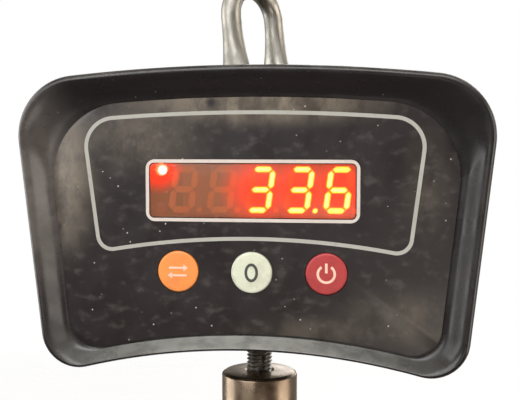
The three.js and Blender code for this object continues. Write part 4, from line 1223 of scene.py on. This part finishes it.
def latch_spring(material):
    """Coils of the torsion spring, round the latch's pin."""
    turns, radius, start, length, steps = 2.3, 3.0, 3.1, 2.3, 60
    coil = []
    for i in range(steps + 1):
        a = tau * turns * i / steps
        y = start + length * i / steps
        coil.append((LATCH_X + radius * cos(a), y, LATCH_Z + radius * sin(a)))
    piece("torsion_spring", wire(coil, 0.45), material, "bright_steel", "latch_spring", 60, "latch")


# ---- Assembly ----


def hidden_hardware(plated, steel, aluminium, dark, board, wrap, seal):
    """Pieces inside the housing and the small ones outside keep their shape from the model."""
    kept = {
        plated: ["upper_locknut", "lower_locknut", *(f"board_screw_{i}" for i in range(1, 5))],
        steel: ["upper_eye", "housing_bracket", "lower_race", "ball_cage", "upper_race", "hook_nut",
                "hook_nut_pin"],
        aluminium: ["load_cell", "gauge_cover"],
        dark: ["buzzer", "battery_tray", "switch_units", "switch_zero", "switch_power"],
        board: ["main_board"],
        wrap: ["battery_1", "battery_2"],
        seal: ["gasket_left", "gasket_right", "load_cell_cable", "battery_lead"],
    }
    for material, names in kept.items():
        for name in names:
            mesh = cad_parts[name].data
            mesh.materials.clear()
            mesh.materials.append(material)


def build():
    black, rear, rubber_black = housing_plastic(), rear_plastic(), rubber()
    plated = plated_steel("zinc_plate", (0.35, 0.335, 0.295), 0.42)
    fastener = plated_steel("screw_zinc", (0.58, 0.57, 0.54), 0.26, 2)
    forged = plated_steel("forged_steel", (0.56, 0.53, 0.48), 0.34, 12)
    bright = turned_steel()
    dark = moulded("dark_plastic", (0.02, 0.02, 0.022))
    aluminium = milled_aluminium()
    front_shell(black)
    rear_shell(rear)
    battery_door(rear)
    screws(fastener)
    seals(rubber_black)
    film(panel_film())
    white, pink = print_ink("white_ink", (0.38, 0.375, 0.335)), print_ink("pale_ink", (0.60, 0.53, 0.48))
    printed_lines(white, pink)
    window(window_lens())
    display(
        moulded("display_brown", (0.26, 0.15, 0.09)),
        lit("lit_segment", (1.0, 0.60, 0.04), (1.0, 0.50, 0.02), 2.6),
        lit("segment_core", (1.0, 0.90, 0.50), (1.0, 0.84, 0.36), 3.4),
        moulded("dim_segment", (0.85, 0.24, 0.06)),
    )
    lamps(
        lit_lamp(),
        moulded("dim_lamp", (0.2, 0.05, 0.03), 0.3),
    )
    keys(
        key_plastic("orange_key", (0.84, 0.27, 0.06), (0.62, 0.19, 0.05)),
        key_plastic("cream_key", (0.62, 0.64, 0.50), (0.46, 0.46, 0.36)),
        key_plastic("red_key", (0.40, 0.04, 0.04), (0.28, 0.03, 0.03)),
    )
    key_marks(
        print_ink("pale_mark", (0.85, 0.55, 0.42)),
        print_ink("dark_mark", (0.06, 0.06, 0.055)),
    )
    shackle_bow(plated)
    shackle_hardware(plated)
    stud(thread_steel())
    swivel(bright)
    hook(forged)
    latch_spring(fastener)
    latch_steel = plated_steel("latch_steel", (0.6, 0.58, 0.54), 0.28, 6)
    refined("safety_latch", "latch", latch_steel, "bright_steel")
    refined("latch_pin", "hook", fastener, "bright_steel", 0.2)
    refined("charging_socket", "scale", dark, "dark_plastic", 0.3)
    hidden_hardware(
        fastener, bright, aluminium, dark, circuit_board(),
        moulded("battery_wrap", (0.02, 0.10, 0.36), 0.35), rubber_black,
    )


bpy.context.scene.view_settings.view_transform = "Standard"
make_camera()
make_world()
make_lights()
make_floor()
build()
